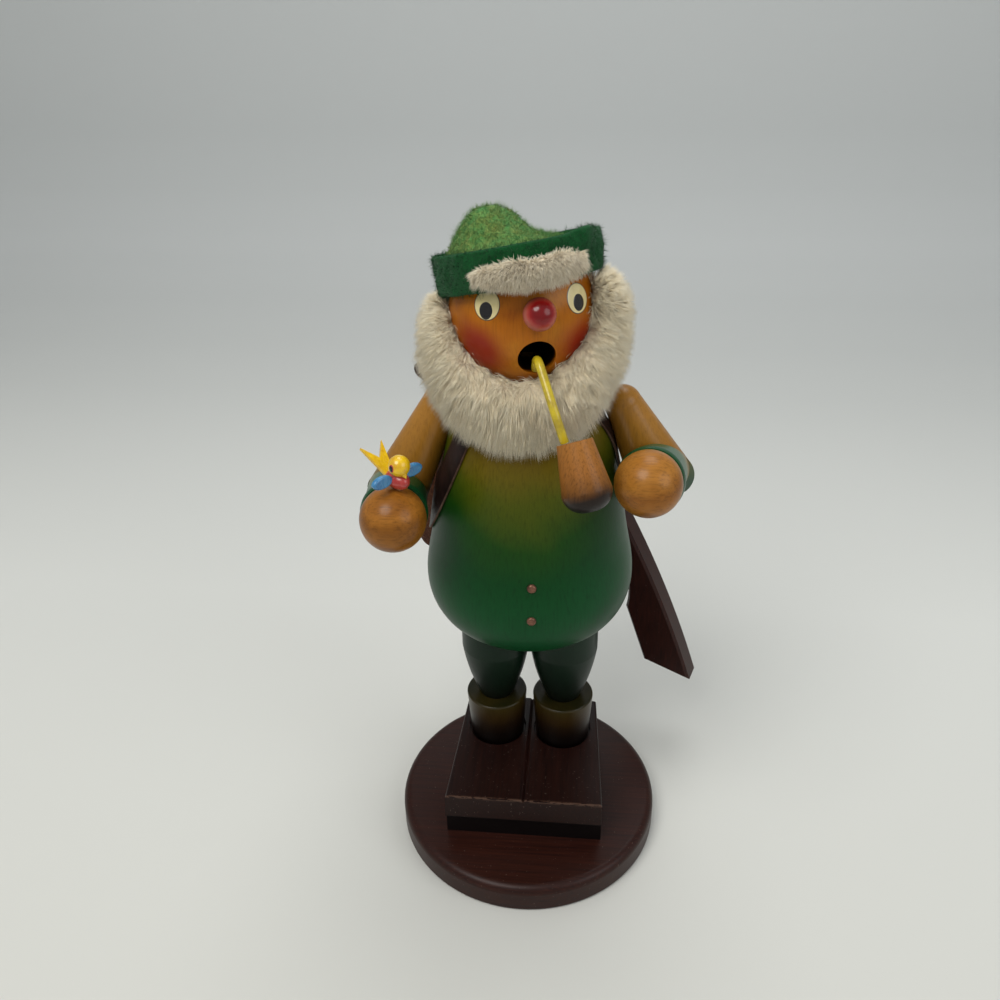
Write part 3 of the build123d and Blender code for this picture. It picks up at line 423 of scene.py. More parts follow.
strap_leather = leather("brown_cowhide_straps", "#1A0F0E", "#2C1B19")
cut_edge = leather("pale_cut_edge_of_cowhide", "#4A342A", "#7A6050", 0.7)


def suede_material():
    """Suede: a short nap, speckled brown and red-brown, with grey rubbing in large soft patches."""
    made, add, where = new_material("speckled_brown_suede")
    nap = add("TexNoise", {"Vector": where, "Scale": 2.4, "Detail": 4, "Roughness": 0.7})
    patch = add("TexNoise", {"Vector": where, "Scale": 0.12, "Detail": 3})
    tone = add("ValToRGB", {"Fac": nap},
               stops=[(0.30, "#24130C"), (0.46, "#4E2A1A"), (0.60, "#6E4A34"), (0.75, "#94806C")])
    tone = add("Mix", {0: patch, 6: tone, 7: "#B09A90"}, **MULTIPLY)
    finish_with(add, tone, 0.9, nap, 0.10, 0.6, sheen=(0.08, 0.5), specular=0.1)
    return made


def felt(name, deep, light, fleck=None, fleck_share=0.0):
    """Pressed wool felt: matted fibres about 0.3 mm apart, cloudy in tone, with a soft sheen."""
    made, add, where = new_material(name)
    fibre = add("TexNoise", {"Vector": where, "Scale": 3, "Detail": 5, "Roughness": 0.75, "Distortion": 0.6})
    cloud = add("TexNoise", {"Vector": where, "Scale": 0.16, "Detail": 3})
    colour = add("ValToRGB", {"Fac": fibre}, stops=[(0.30, deep), (0.62, light)])
    colour = add("Mix", {0: cloud, 6: colour, 7: "#C8D6C0"}, **MULTIPLY)
    if fleck:
        spots = add("TexNoise", {"Vector": where, "Scale": 0.34, "Detail": 6, "Roughness": 0.8,
                                 "Distortion": 0.4})
        spots = add("MapRange", {0: spots, 1: 0.40, 2: 0.72, 4: fleck_share})
        fine = add("MapRange", {0: fibre, 1: 0.40, 2: 0.60, 3: 0.3})
        spots = add("Math", {0: spots, 1: fine}, operation="MULTIPLY")
        colour = add("Mix", {0: spots, 6: colour, 7: fleck}, **BLEND)
    finish_with(add, colour, 0.95, fibre, 0.22, 0.7, sheen=(0.08, 0.6), specular=0.1)
    return made


suede = suede_material()
# One green felt in two colours: the crown's lighter green is painted light where it faces up, and the brim's
# darker green is painted shade on its steep lip
crown_felt = felt("green_felt_crown_with_painted_light", "#35743C", "#6BA65C", "#A8823C", 0.6)
brim_felt = felt("green_felt_brim_with_painted_shade", "#052F17", "#0F5A2B")


def fur(name, root, middle, tip):
    """Combed wool pile: each hair has its own tone, lower at its foot as painted shade, kept as the attribute
    tone.
    """
    made, add, _ = new_material(name)
    tone = add("Attribute", {}, "Fac", attribute_name="tone")
    colour = add("ValToRGB", {"Fac": tone}, stops=[(0.0, root), (0.45, middle), (1.0, tip)])
    finish_with(add, colour, 0.75, sheen=(0.25, 0.5), specular=0.2)
    return made


beard_fur = fur("cream_wool_pile", "#C4AC80", "#F8E9C8", "#FFF7DE")
fringe_fur = fur("grizzled_wool_pile", "#8C7A5E", "#E4D6BA", "#FFF6E0")


# The wooden and metal pieces keep their solids and get their finishes

for material, slot, names in (
    (base_stain, "base_stain", ("base_disc",)),
    (shoe_stain, "shoe_stain", ("right_shoe", "left_shoe")),
    (boot_lacquer, "boot_paint", ("right_boot", "left_boot")),
    (leg_lacquer, "leg_paint", ("right_leg", "left_leg")),
    (plain_wood, "plain_wood", ("hip_plug", "bird_peg")),
    (tinplate, "tin", ("plate_nail", "incense_plate")),
    (coat_lacquer, "coat_paint", ("coat_body",)),
    (button_bronze, "button_brass", ("coat_buttons",)),
    (face_material(), "face_paint", ("head",)),
    (nose_material(), "nose_paint", ("nose",)),
    (right_arm_lacquer, "arm_paint", ("right_upper_arm",)),
    (left_arm_lacquer, "arm_paint", ("left_upper_arm",)),
    (right_sleeve_lacquer, "arm_paint", ("right_sleeve",)),
    (left_sleeve_lacquer, "arm_paint", ("left_sleeve",)),
    (hand_lacquer, "hand_wood", ("right_hand", "left_hand")),
    (bird_red, "bird_red", ("bird_body",)),
    (bird_yellow, "bird_yellow", ("bird_head", "bird_tail")),
    (bird_blue, "bird_blue", ("bird_wings",)),
    (stem_enamel, "stem_paint", ("pipe_stem",)),
    (bowl_lacquer, "bowl_wood", ("pipe_bowl",)),
    (gun_stain, "gun_stain", ("rifle_stock", "rifle_barrel")),
):
    for name in names:
        wear(nodes[name], material)


# The coat as the surface that soft pieces lie on: its widest points, level by level

COAT_FOOT, COAT_TOP, NECK_RADIUS, LEVELS = 74.5, 147.5, 8.5, 120
coat_mesh = nodes["coat_body"].data
coat_points = np.zeros(len(coat_mesh.vertices) * 3)
coat_mesh.vertices.foreach_get("co", coat_points)
coat_points = coat_points.reshape(-1, 3) / MM
coat_levels = np.linspace(coat_points[:, 2].min(), COAT_TOP, LEVELS)
level_of = np.clip(np.searchsorted(coat_levels, coat_points[:, 2] - 1e-6), 0, LEVELS - 1)
widest = np.zeros(LEVELS)
np.maximum.at(widest, level_of, np.hypot(coat_points[:, 0], coat_points[:, 1] - FIGURE_Y))
coat_known = widest > NECK_RADIUS


def coat_radius(height):
    """The coat's radius at a height, read off its own solid."""
    return np.interp(height, coat_levels[coat_known], widest[coat_known])


def coat_normal(points):
    """Square to the coat's surface: outwards, tipped by the slope of its outline."""
    slope = (coat_radius(points[..., 2] + 0.8) - coat_radius(points[..., 2] - 0.8)) / 1.6
    away = unit((points - np.array([0, FIGURE_Y, 0])) * np.array([1, 1, 0]))
    return unit(away - slope[..., None] * Z_UP)


def on_coat(centre, normal, angles):
    """Where a plane meets the coat: rays fan out from an inner point, and halving finds the surface."""
    first = unit(np.cross(normal, Z_UP))
    second = np.cross(first, normal)
    ray = np.cos(angles)[:, None] * first + np.sin(angles)[:, None] * second
    low, high = np.zeros(len(angles)), np.full(len(angles), 90.0)
    for _ in range(44):
        middle = (low + high) / 2
        at = centre + middle[:, None] * ray
        out = np.hypot(at[:, 0], at[:, 1] - FIGURE_Y) > coat_radius(at[:, 2])
        out |= (at[:, 2] > COAT_TOP) | (at[:, 2] < COAT_FOOT)
        low, high = np.where(out, low, middle), np.where(out, middle, high)
    return centre + low[:, None] * ray


def clear_of_coat(points, gap=0.05):
    """Points inside the coat are moved straight out to its surface and a gap more."""
    away = points - np.array([0, FIGURE_Y, 0])
    flat = np.hypot(away[..., 0], away[..., 1])
    least = coat_radius(points[..., 2]) + gap
    grow = np.where((flat < least) & (points[..., 2] < COAT_TOP), least / np.maximum(flat, 1e-6), 1.0)
    return np.stack([away[..., 0] * grow, away[..., 1] * grow + FIGURE_Y, points[..., 2]], -1)


# The gun's own axes: aside and up on the board it is cut from, and back through its thickness

GUN = np.array([25.7, 38.1, 90.3])
gun_yaw, gun_pitch = math.radians(20.0), math.radians(5.0)
comb_angle, bore_angle = math.radians(-67.7), math.radians(148.4)
gun_back = np.array([math.sin(gun_yaw) * math.cos(gun_pitch), math.cos(gun_yaw) * math.cos(gun_pitch),
                     math.sin(gun_pitch)])
gun_aside = np.array([math.cos(gun_yaw), -math.sin(gun_yaw), 0.0])
gun_up = np.cross(-gun_back, gun_aside)
comb = np.array([math.cos(comb_angle), math.sin(comb_angle)])
comb_square = np.array([comb[1], -comb[0]])
bore = np.array([math.cos(bore_angle), math.sin(bore_angle)])
bore_square = np.array([-bore[1], bore[0]])


def on_gun(flat, behind=0.0):
    """A point of the board from its flat drawing, and so far behind its near face."""
    return GUN + gun_aside * flat[0] + gun_up * flat[1] + gun_back * behind


def clear_of_gun(points, gap=0.06):
    """Points behind the gun's near face are moved forward to it."""
    behind = (points - GUN) @ gun_back + gap
    return points - np.maximum(behind, 0)[..., None] * gun_back


# Straps: bands of leather laid on the coat, with their pale cut edges

STRAP_WIDTH, STRAP_THICKNESS, STRAP_GAP, ACROSS = 3.8, 0.8, 0.05, 7
strap_offsets = np.linspace(-STRAP_WIDTH / 2, STRAP_WIDTH / 2, ACROSS)


def band(name, under, over, closed):
    """A leather band from its under and upper surfaces, each a grid along and across, with cut edges."""
    ring = np.concatenate([under, over[:, ::-1]], axis=1)
    rows, count = ring.shape[:2]
    faces = grid_faces(rows, count, wrap_rows=closed, wrap_columns=True)
    side = np.isin(np.arange(count), (ACROSS - 1, count - 1)).astype(int)
    sides = np.tile(side, rows if closed else rows - 1)
    if not closed:
        faces += [list(range(count)), list(range(rows * count - 1, rows * count - count - 1, -1))]
        sides = np.append(sides, [0, 0])
    piece = make_piece(name, ring.reshape(-1, 3), faces, strap_leather)
    piece.data.materials.append(cut_edge)
    piece.data.polygons.foreach_set("material_index", sides)
    bevel = outward(piece).modifiers.new("rounded_edges", "BEVEL")
    bevel.width, bevel.segments, bevel.angle_limit = 0.12 * MM, 2, math.radians(50)
    return piece


def strap_grid(centre, normal, count):
    """Rows round the coat and columns across the strap: its under side just off the lacquer, and its upper
    side thinner towards the edges by the cube of their distance."""
    angles = np.linspace(0, TURN, count, endpoint=False)
    under = np.stack([on_coat(centre + normal * offset, normal, angles) for offset in strap_offsets], axis=1)
    square = coat_normal(under)
    crown = 1 - 0.12 * np.abs(np.linspace(-1, 1, ACROSS))[None, :, None] ** 3
    return under + square * STRAP_GAP, under + square * (STRAP_GAP + STRAP_THICKNESS * crown)


RIGHT_STRAP_X, RIGHT_STRAP_Z, RIGHT_STRAP_SLOPE = -15.9, 134.1, math.radians(22.4)
INNER_Z = 124.0
right_normal = unit(np.array([math.cos(RIGHT_STRAP_SLOPE), 0.0, -math.sin(RIGHT_STRAP_SLOPE)]))
right_x = RIGHT_STRAP_X + math.tan(RIGHT_STRAP_SLOPE) * (INNER_Z - RIGHT_STRAP_Z)
right_centre = np.array([right_x, FIGURE_Y, INNER_Z])
under, over = strap_grid(right_centre, right_normal, 180)
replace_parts(band("right_strap_leather", under, over, True), "right_strap")

# The left strap lies over the shoulder from under the beard, and then runs straight to the gun's butt
LOOP = 360
BUTT_ALONG, BUTT_ASIDE = 10.0, 3.0
left_normal = unit(np.array([0.079, 0.866, 0.496]))
left_point = np.array([18.1, 4.1, 137.6])
strap_leaves = np.array([24.6, 19.4, 110.6])
left_centre = np.array([10.0, 0.0, 122.0])
left_centre[1] = left_point[1] - (left_normal[0] * (left_centre[0] - left_point[0])
                                  + left_normal[2] * (left_centre[2] - left_point[2])) / left_normal[1]
loop_under, loop_over = strap_grid(left_centre, left_normal, LOOP)
middle_line = loop_under[:, ACROSS // 2]
first = int(np.argmin(np.abs(middle_line[:, 0] - 9.0) + 100 * (middle_line[:, 2] < 135)))
last = int(np.argmin(np.linalg.norm(middle_line - strap_leaves, axis=1)))
way = 1 if ((last - first) % LOOP) < LOOP / 2 else -1
rows = (first + way * np.arange(((last - first) * way) % LOOP + 1)) % LOOP
run = on_gun(comb * BUTT_ALONG + comb_square * BUTT_ASIDE) - middle_line[last]
square = coat_normal(middle_line[last][None])[0]
tail_square = unit(square - unit(run) * (square @ unit(run)))
tail_across = np.cross(tail_square, unit(run))
tail_across = tail_across * np.sign(tail_across @ (loop_under[last, -1] - loop_under[last, 0]))
shares = np.linspace(0, 1, 26)[1:, None, None]
settle = np.clip(shares * 6, 0, 1)
settle = settle * settle * (3 - 2 * settle)
tail_under = (middle_line[last] + run * shares + (loop_under[last] - middle_line[last])[None] * (1 - settle)
              + strap_offsets[None, :, None] * tail_across * settle)
tail_over = (tail_under + (loop_over[last] - loop_under[last])[None] * (1 - settle)
             + tail_square * STRAP_THICKNESS * settle)
left_strap = band("left_strap_leather", np.concatenate([loop_under[rows], tail_under]),
                  np.concatenate([loop_over[rows], tail_over]), False)
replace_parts(left_strap, "left_strap")

# Sling: a leather collar round the barrel, a squared-off circle with its wall outside
SLING_PLACE, SLING_RISE, BARREL_BEHIND = 70.0, 3.7, 3.75
SLING_DEEP, SLING_HIGH, SLING_ALONG, SLING_WALL, SLING_COUNT = 2.35, 2.95, 2.0, 0.7, 48
sling_middle = on_gun(bore * SLING_PLACE + bore_square * SLING_RISE, BARREL_BEHIND)
barrel_line = gun_aside * bore[0] + gun_up * bore[1]
barrel_square = gun_aside * bore_square[0] + gun_up * bore_square[1]
angle = np.linspace(0, TURN, SLING_COUNT, endpoint=False)[:, None]
rings = [sling_middle + gun_back * (curl(np.cos(angle), 0.35) * (SLING_DEEP + grow))
         + barrel_square * (curl(np.sin(angle), 0.35) * (SLING_HIGH + grow))
         + barrel_line * shift * SLING_ALONG
         for grow, shift in ((0, -1), (0, 1), (SLING_WALL, 1), (SLING_WALL, -1))]
sling_faces = grid_faces(len(rings), SLING_COUNT, wrap_rows=True, wrap_columns=True)
sling = make_piece("sling_leather", np.concatenate(rings), sling_faces, strap_leather)
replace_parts(outward(sling), "rifle_sling")


# Rucksack: a soft stuffed bag of suede that lies on the coat's back under its flap

BAG = np.array([-8.0, 44.6, 97.0])
BAG_WIDTH, BAG_HEIGHT, BAG_DEPTH = 57.0, 44.0, 19.6
BAG_POWER = 0.4
bag_turn = math.radians(10.0)
bag_back = np.array([math.sin(bag_turn), math.cos(bag_turn), 0.0])
bag_aside = np.array([math.cos(bag_turn), -math.sin(bag_turn), 0.0])


def on_bag(u, v, grow=0.0):
    """The bag's skin: a superellipsoid, its sides a little drawn in between the corners and its foot fuller,
    creased by waves. u runs round its width and height, v from its front to its back. grow moves it out."""
    width, height, depth = BAG_WIDTH + 2 * grow, BAG_HEIGHT + 2 * grow, BAG_DEPTH + 2 * grow
    x = curl(np.cos(v), BAG_POWER) * curl(np.cos(u), BAG_POWER) * width / 2
    z = curl(np.cos(v), BAG_POWER) * curl(np.sin(u), BAG_POWER) * height / 2
    y = curl(np.sin(v), 0.62) * depth / 2 * np.ones_like(u)
    low = np.clip(-2 * z / height, -1, 1)
    x = x * (1 - 0.04 * (1 - (2 * z / height) ** 2)) * (1 + 0.015 * low)
    point = BAG - bag_back * (BAG_DEPTH / 2 + 0.3) + x[..., None] * bag_aside + y[..., None] * bag_back
    point = point + z[..., None] * Z_UP
    fold = waves(point * np.array([1, 1, 0.5]), 15.0, 3) * 0.5 + waves(point, 6.0, 4) * 0.12 - 0.4
    return point + bag_back * fold[..., None]


u, v = np.meshgrid(np.linspace(0, TURN, 160, endpoint=False), np.linspace(-math.pi / 2, math.pi / 2, 80))
bag = ringed_piece("rucksack_suede", clear_of_gun(clear_of_coat(on_bag(u, v))), suede)
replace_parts(bag, "rucksack_body")

# Flap: a skin of the same suede over the bag's top, falling 13 mm down its back. Its edge is level: the
# bag's own formula is solved for the v, at each u, where the skin is at that height
FLAP_DROP, FLAP_THICKNESS, FLAP_GAP = 13.0, 1.2, 0.15
flap_share = (BAG_HEIGHT / 2 - FLAP_DROP) / (BAG_HEIGHT / 2)
first_u = math.asin((flap_share * 1.02) ** (1 / BAG_POWER))
flap_u = np.linspace(first_u, math.pi - first_u, 90)
end_v = np.arccos(np.clip((flap_share / np.sin(flap_u) ** BAG_POWER) ** (1 / BAG_POWER), 0, 1))
u, v = np.meshgrid(flap_u, np.linspace(-0.8, 1, 70))
v = v * end_v[None]
flap_under = clear_of_gun(clear_of_coat(on_bag(u, v, FLAP_GAP)), 0.9)
flap_over = clear_of_gun(clear_of_coat(on_bag(u, v, FLAP_GAP + FLAP_THICKNESS), 1.0))
rows, columns = u.shape
shell = np.concatenate([flap_under.reshape(-1, 3), flap_over.reshape(-1, 3)])
flap_faces = grid_faces(rows, columns) + grid_faces(rows, columns, start=rows * columns)
order = np.arange(rows * columns).reshape(rows, columns)
rim = np.concatenate([order[0], order[1:, -1], order[-1, -2::-1], order[-2:0:-1, 0]])
after = np.roll(rim, -1)
flap_faces += np.stack([rim, after, after + rows * columns, rim + rows * columns], -1).tolist()
flap = outward(make_piece("rucksack_flap_suede", shell, flap_faces, suede))
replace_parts(flap, "rucksack_flap")


# Fur and felt: hairs are thin tapered needles with a bend, rooted on a form

def hairs(name, root, direction, length, droop, width, tone, material):
    """Each hair is a three-sided needle: a foot ring, a middle ring moved by part of its droop, and a tip."""
    count = len(root)
    direction = unit(direction)
    side = unit(np.cross(direction, unit(rng.normal(size=(count, 3)))))
    other = np.cross(direction, side)
    turn = np.arange(3) * TURN / 3
    ring = np.cos(turn)[None, :, None] * side[:, None] + np.sin(turn)[None, :, None] * other[:, None]
    ring = ring * (width / 2)[:, None, None]
    middle = root + direction * (length * 0.55)[:, None] + droop * 0.30
    tip = root + direction * (length * 0.92)[:, None] + droop
    points = np.concatenate([root[:, None] + ring, middle[:, None] + ring * 0.75, tip[:, None]], axis=1)
    first = (np.arange(count) * 7)[:, None, None]
    walls = np.array([[0, 1, 4, 3], [1, 2, 5, 4], [2, 0, 3, 5]])
    ends = np.array([[3, 4, 6], [4, 5, 6], [5, 3, 6], [2, 1, 0]])
    faces = (first + walls[None]).reshape(-1, 4).tolist() + (first + ends[None]).reshape(-1, 3).tolist()
    # Painted shade: a hair's foot ring gets 0.55 of its tone and its middle ring 0.9, so the pile is darker
    # deep down
    shade = tone[:, None] * np.array([0.55, 0.55, 0.55, 0.9, 0.9, 0.9, 1.0])[None]
    return make_piece(name, points.reshape(-1, 3), faces, material, shade.ravel())


def scatter(grid, count):
    """Random places on a gridded form, even by area, with the outward square of each and its share of the
    rows."""
    after = np.roll(grid, -1, axis=1)
    along, across = grid[1:] - grid[:-1], (after - grid)[:-1]
    square = np.cross(across, along)
    area = np.linalg.norm(square, axis=-1)
    i, j = np.unravel_index(rng.choice(area.size, count, p=(area / area.sum()).ravel()), area.shape)
    p, q = rng.random((2, count, 1))
    root = grid[i, j] + across[i, j] * p + along[i, j] * q
    square = unit(square[i, j])
    if ((root - grid[i].mean(axis=1)) * square).sum() < 0:
        square = -square
    return root, square, (i + q[:, 0]) / (len(grid) - 1)


def draw_in(grid, power, root=1.0):
    """A form whose rows are rings, with its end rings drawn in to their middles: by 1 less a power of the
    distance along it from the middle row, and a root of that."""
    middle = grid.mean(axis=1, keepdims=True)
    near = 1 - np.abs(np.linspace(-1, 1, len(grid)))[:, None, None] ** power
    return middle + (grid - middle) * near ** root


def undercoat(name, grid, material, tone, node_name):
    """The form under a coat of hair, its ends rounded off, which stands for the solid."""
    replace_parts(ringed_piece(name, draw_in(grid, 14, 0.5), material, tone), node_name)


# The hat stands on its own plane, tipped to the figure's right and back

HAT = np.array([-1.7, FIGURE_Y, 171.4])
hat_roll, hat_pitch = math.radians(10.4), math.radians(12.0)
hat_up = np.array([-math.sin(hat_roll) * math.cos(hat_pitch), math.cos(hat_roll) * math.sin(hat_pitch),
                   math.cos(hat_roll) * math.cos(hat_pitch)])
hat_left = np.array([math.cos(hat_roll), 0.0, math.sin(hat_roll)])
hat_back = np.cross(hat_up, hat_left)
BRIM_FOOT, BRIM_REACH = 0.7, 20.7


def clear_of_hat(points):
    """Whether points are outside the hat's brim and crown."""
    away = points - HAT
    rise = away @ hat_up
    reach = np.linalg.norm(away - rise[..., None] * hat_up, axis=-1)
    return (rise < BRIM_FOOT) | (reach > BRIM_REACH)


def outside_head(points, share=1.0):
    """Whether points are outside the head's ball, or a ball of that share of its square."""
    return (((points - HEAD) / HEAD_SIZE) ** 2).sum(-1) > share


def smooth_line(points, count):
    """A curve through points, by a cubic whose slope at each is that between its neighbours."""
    points = np.asarray(points, float)
    padded = np.concatenate([points[:1], points, points[-1:]])
    place = np.linspace(0, len(points) - 1 - 1e-9, count)
    k = place.astype(int)
    s = (place - k)[:, None]
    a, b, c, d = (padded[k + step] for step in range(4))
    bend, twist = 2 * a - 5 * b + 4 * c - d, 3 * b - a - 3 * c + d
    return 0.5 * (2 * b + (c - a) * s + bend * s ** 2 + twist * s ** 3)


# Radius, lean to the right and rise of the felt, from inside the brim over its edge and up the crown
BRIM_LINE = ((15.0, 0, 4.6), (18.0, 0, 3.6), (18.3, 0, 0.7), (19.2, 0, 0.0), (20.2, 0, 0.5), (20.4, 0, 4.5),
             (20.5, 0, 8.4), (20.1, 0, 9.3), (19.3, 0, 9.4), (18.7, 0, 8.9), (18.2, 0, 7.6), (17.3, 0, 6.8))
CROWN_LINE = ((17.3, 0, 6.7), (16.5, 0.8, 7.1), (14.6, 2.5, 8.2), (12.2, 3.9, 9.6), (9.8, 5.0, 11.6),
              (8.0, 5.5, 13.6), (6.4, 5.7, 15.6), (4.5, 5.6, 17.3), (2.2, 5.3, 18.3), (0.02, 5.2, 18.5))
CORNER_TURN, CORNER_WIDTH = math.radians(328), 0.22


def felt_skin(line, rows):
    """Felt turned round the hat's axis, uneven by hand blocking, with the brim's corner pulled out at the
    left front: by a bell curve of the angle, and more the higher it is."""
    radius, lean, rise = smooth_line(line, rows).T[:, :, None]
    turn = np.linspace(0, TURN, 200, endpoint=False)[None]
    corner = np.exp(-((turn - CORNER_TURN) / CORNER_WIDTH) ** 2)
    corner = corner * np.clip((rise - 1) / 8, 0, 1) * (radius > 17)
    radius = radius * (1 + 0.045 * corner)
    rise = rise * (1 + 0.10 * corner)
    point = (HAT + (radius * np.cos(turn) - lean)[..., None] * hat_left
             + (radius * np.sin(turn))[..., None] * hat_back + rise[..., None] * hat_up)
    uneven = waves(point, 11.0, 41) * 0.35 + waves(point, 3.0, 42) * 0.14
    away = unit(point - HAT - hat_up * 6.0)
    return point + away * (uneven * np.clip(radius / 4, 0, 1))[..., None]


brim_grid, crown_grid = felt_skin(BRIM_LINE, 70), felt_skin(CROWN_LINE, 80)
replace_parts(ringed_piece("brim_felt", brim_grid, brim_felt), "hat")
ringed_piece("crown_felt", crown_grid, crown_felt)

# Fuzz: loose ends of wool that stand off the felt in every direction
for name, grid, material, count in (("brim_fuzz", brim_grid, brim_felt, 9000),
                                    ("crown_fuzz", crown_grid, crown_felt, 11000)):
    root, square, _ = scatter(grid, count)
    direction = unit(square * 0.45 + rng.normal(size=(count, 3)) * 0.62)
    direction = np.where(((direction * square).sum(-1) < 0.12)[:, None], direction + square * 0.5, direction)
    length = rng.uniform(0.6, 1.9, count)
    droop = rng.normal(size=(count, 3)) * 0.3
    hairs(name, root - square * 0.1, direction, length, droop, rng.uniform(0.06, 0.11, count),
          np.clip(rng.normal(0.55, 0.2, count), 0.1, 1), material)


# Beard: a fur collar from ear to ear under the chin

def beard_form(t, s, shrink):
    """An ellipse carried round the face. t runs from ear to ear, s round the section."""
    angle = np.radians(27.0 - t * 214.0)
    down = np.maximum(0, -np.sin(angle))
    reach = 19.5 + 0.3 * down
    deep = 6.8 + 1.4 * down - shrink
    thick = 7.6 + 0.8 * down - shrink
    forward = 3.0 + 12.8 * down
    toward = np.cos(angle)[..., None] * X_LEFT + np.sin(angle)[..., None] * Z_UP
    centre = HEAD + toward * reach[..., None] - forward[..., None] * Y_BACK
    point = centre + (np.cos(s) * deep)[..., None] * toward - (np.sin(s) * thick)[..., None] * Y_BACK
    return point + unit(point - centre) * (waves(point, 5.0, 11) * 0.45)[..., None]


def coat_of_hair(name, grid, count, comb, length, material, tone, seed):
    """Hairs all over a form, gathered into locks by smooth noise and combed by a field of directions. Those
    that would end in the head or the hat are left out."""
    root, square, share = scatter(grid, count)
    kept = outside_head(root, 0.97) & clear_of_hat(root)
    root, square, share = root[kept], square[kept], share[kept]
    count = len(root)
    lock = swirl(root, 4.2, seed)
    fine = swirl(root, 1.3, seed + 3)
    combed = comb(root)
    direction = unit(square * 0.66 + combed + lock * 0.26 + fine * 0.24 + rng.normal(size=(count, 3)) * 0.13)
    direction = unit(direction + square * np.maximum(0.12 - (direction * square).sum(-1), 0)[:, None])
    size = length(root) * rng.uniform(0.72, 1.12, count)
    droop = (combed * 0.16 - Z_UP * 0.10) * size[:, None] + rng.normal(size=(count, 3)) * 0.12
    tip = root + direction * size[:, None] + droop
    kept = outside_head(tip, 0.99) & clear_of_hat(tip)
    shade = np.clip(tone + rng.normal(size=count) * 0.15 + waves(root, 1.6, seed + 6) * 0.14, 0.05, 1.0)
    hairs(name, root[kept], direction[kept], size[kept], droop[kept], rng.uniform(0.08, 0.16, count)[kept],
          shade[kept], material)


def beard_comb(root):
    """Away from the face and down, turning more to the ground under the chin, and out at the upper ends."""
    away = unit((root - HEAD) * np.array([1, 0.15, 1]))
    down = np.clip(-away[:, 2], 0, 1)[:, None]
    high = np.clip((root[:, 2:3] - HEAD[2]) / 8, 0, 1)
    fall = (0.30 + 0.25 * down) * (1 - high)
    return away * (1 - 0.4 * high) * 0.75 - fall * Z_UP - 0.25 * down * Y_BACK


def beard_length(root):
    """Longer under the chin, by the square of the depth below the middle of the head."""
    return 4.4 + 2.6 * np.clip(-(root - HEAD)[:, 2] / 20, 0, 1) ** 2


BEARD_ROWS, BEARD_HAIRS = 110, 19500
t, s = ring_grid(0, 1, BEARD_ROWS, 72)
undercoat("beard_undercoat", beard_form(0.04 + 0.93 * t, s, 3.4), beard_fur, 0.62, "beard")
beard_grid = draw_in(beard_form(t, s, 3.2), 16)
for number, start in enumerate((0, 27, 54, 81), 1):
    coat_of_hair(f"beard_hairs_{number}", beard_grid[start:start + 29], BEARD_HAIRS, beard_comb, beard_length,
                 beard_fur, 0.80, 50)


# Hair at the back of the head, between the ends of the beard

def ring_form(centre, up, start, turn, s, reach, rise, thickness, half_height):
    """An ellipse turned round an axis. turn is the angle from the start, s that round the section."""
    toward = np.cos(turn)[..., None] * start + np.sin(turn)[..., None] * np.cross(up, start)
    middle = centre + toward * reach + up * rise
    point = (centre + toward * (reach + thickness * np.cos(s))[..., None]
             + (rise + half_height * np.sin(s))[..., None] * up)
    return point + unit(point - middle) * (waves(point, 5.0, 12) * 0.3)[..., None]


turn, s = ring_grid(-8, 188, 90, 60)
turn = np.radians(turn)
undercoat("back_hair_undercoat", ring_form(HEAD, Z_UP, X_LEFT, turn, s, 19.2, -3.2, 3.4, 7.8),
          beard_fur, 0.75, "back_hair")
coat_of_hair("back_hair_hairs", ring_form(HEAD, Z_UP, X_LEFT, turn, s, 19.2, -3.2, 3.0, 7.4), 17000,
             lambda root: np.zeros_like(root) - 0.75 * Z_UP, lambda root: np.full(len(root), 3.4),
             beard_fur, 0.84, 70)


# Fringe: grizzled fur that lies over the front of the brim, on a plane of its own

fringe_roll = math.radians(7.5)
fringe_up = np.array([-math.sin(fringe_roll), 0, math.cos(fringe_roll)])
fringe_middle = HEAD + Z_UP * 14.1
turn, s = ring_grid(-27, 43, 60, 48)
turn = np.radians(turn)


def fringe_form(shrink):
    """Thin and drawn out at the right temple, deeper over the left brow."""
    half_height = 3.1 - 1.9 * np.clip((np.radians(-2) - turn) / math.radians(25), 0, 1) ** 1.3
    half_height = half_height - 0.9 * np.clip((turn - math.radians(34)) / math.radians(9), 0, 1)
    return ring_form(fringe_middle, fringe_up, -Y_BACK, turn, s, 20.6, 0.2, 2.2 - shrink,
                     np.maximum(half_height - shrink, 0.3))


undercoat("fringe_undercoat", fringe_form(1.0), fringe_fur, 0.35, "hair_fringe")

# Its hairs are combed forwards, down and away from the middle of the brow. They lie over the hat, so none is
# left out for it
root, square, share = scatter(fringe_form(1.3), 17000)
kept = outside_head(root, 0.97)
root, square, share = root[kept], square[kept], share[kept]
count = len(root)
combed = (share - 0.45)[:, None] * 1.5 * X_LEFT - 0.45 * Y_BACK - 0.38 * Z_UP
lock = swirl(root, 3.4, 81)
direction = unit(square * 0.85 + combed + lock * 0.36 + rng.normal(size=(count, 3)) * 0.26)
size = rng.uniform(1.6, 3.4, count)
droop = (-0.1 * Y_BACK - 0.22 * Z_UP) * size[:, None]
shade = np.clip(0.74 + rng.normal(size=count) * 0.2 + waves(root, 1.8, 84) * 0.16, 0.05, 1.0)
hairs("fringe_hairs", root, direction, size, droop, rng.uniform(0.09, 0.17, count), shade, fringe_fur)


# Eyes: thin discs of enamel painted on the ball of a head

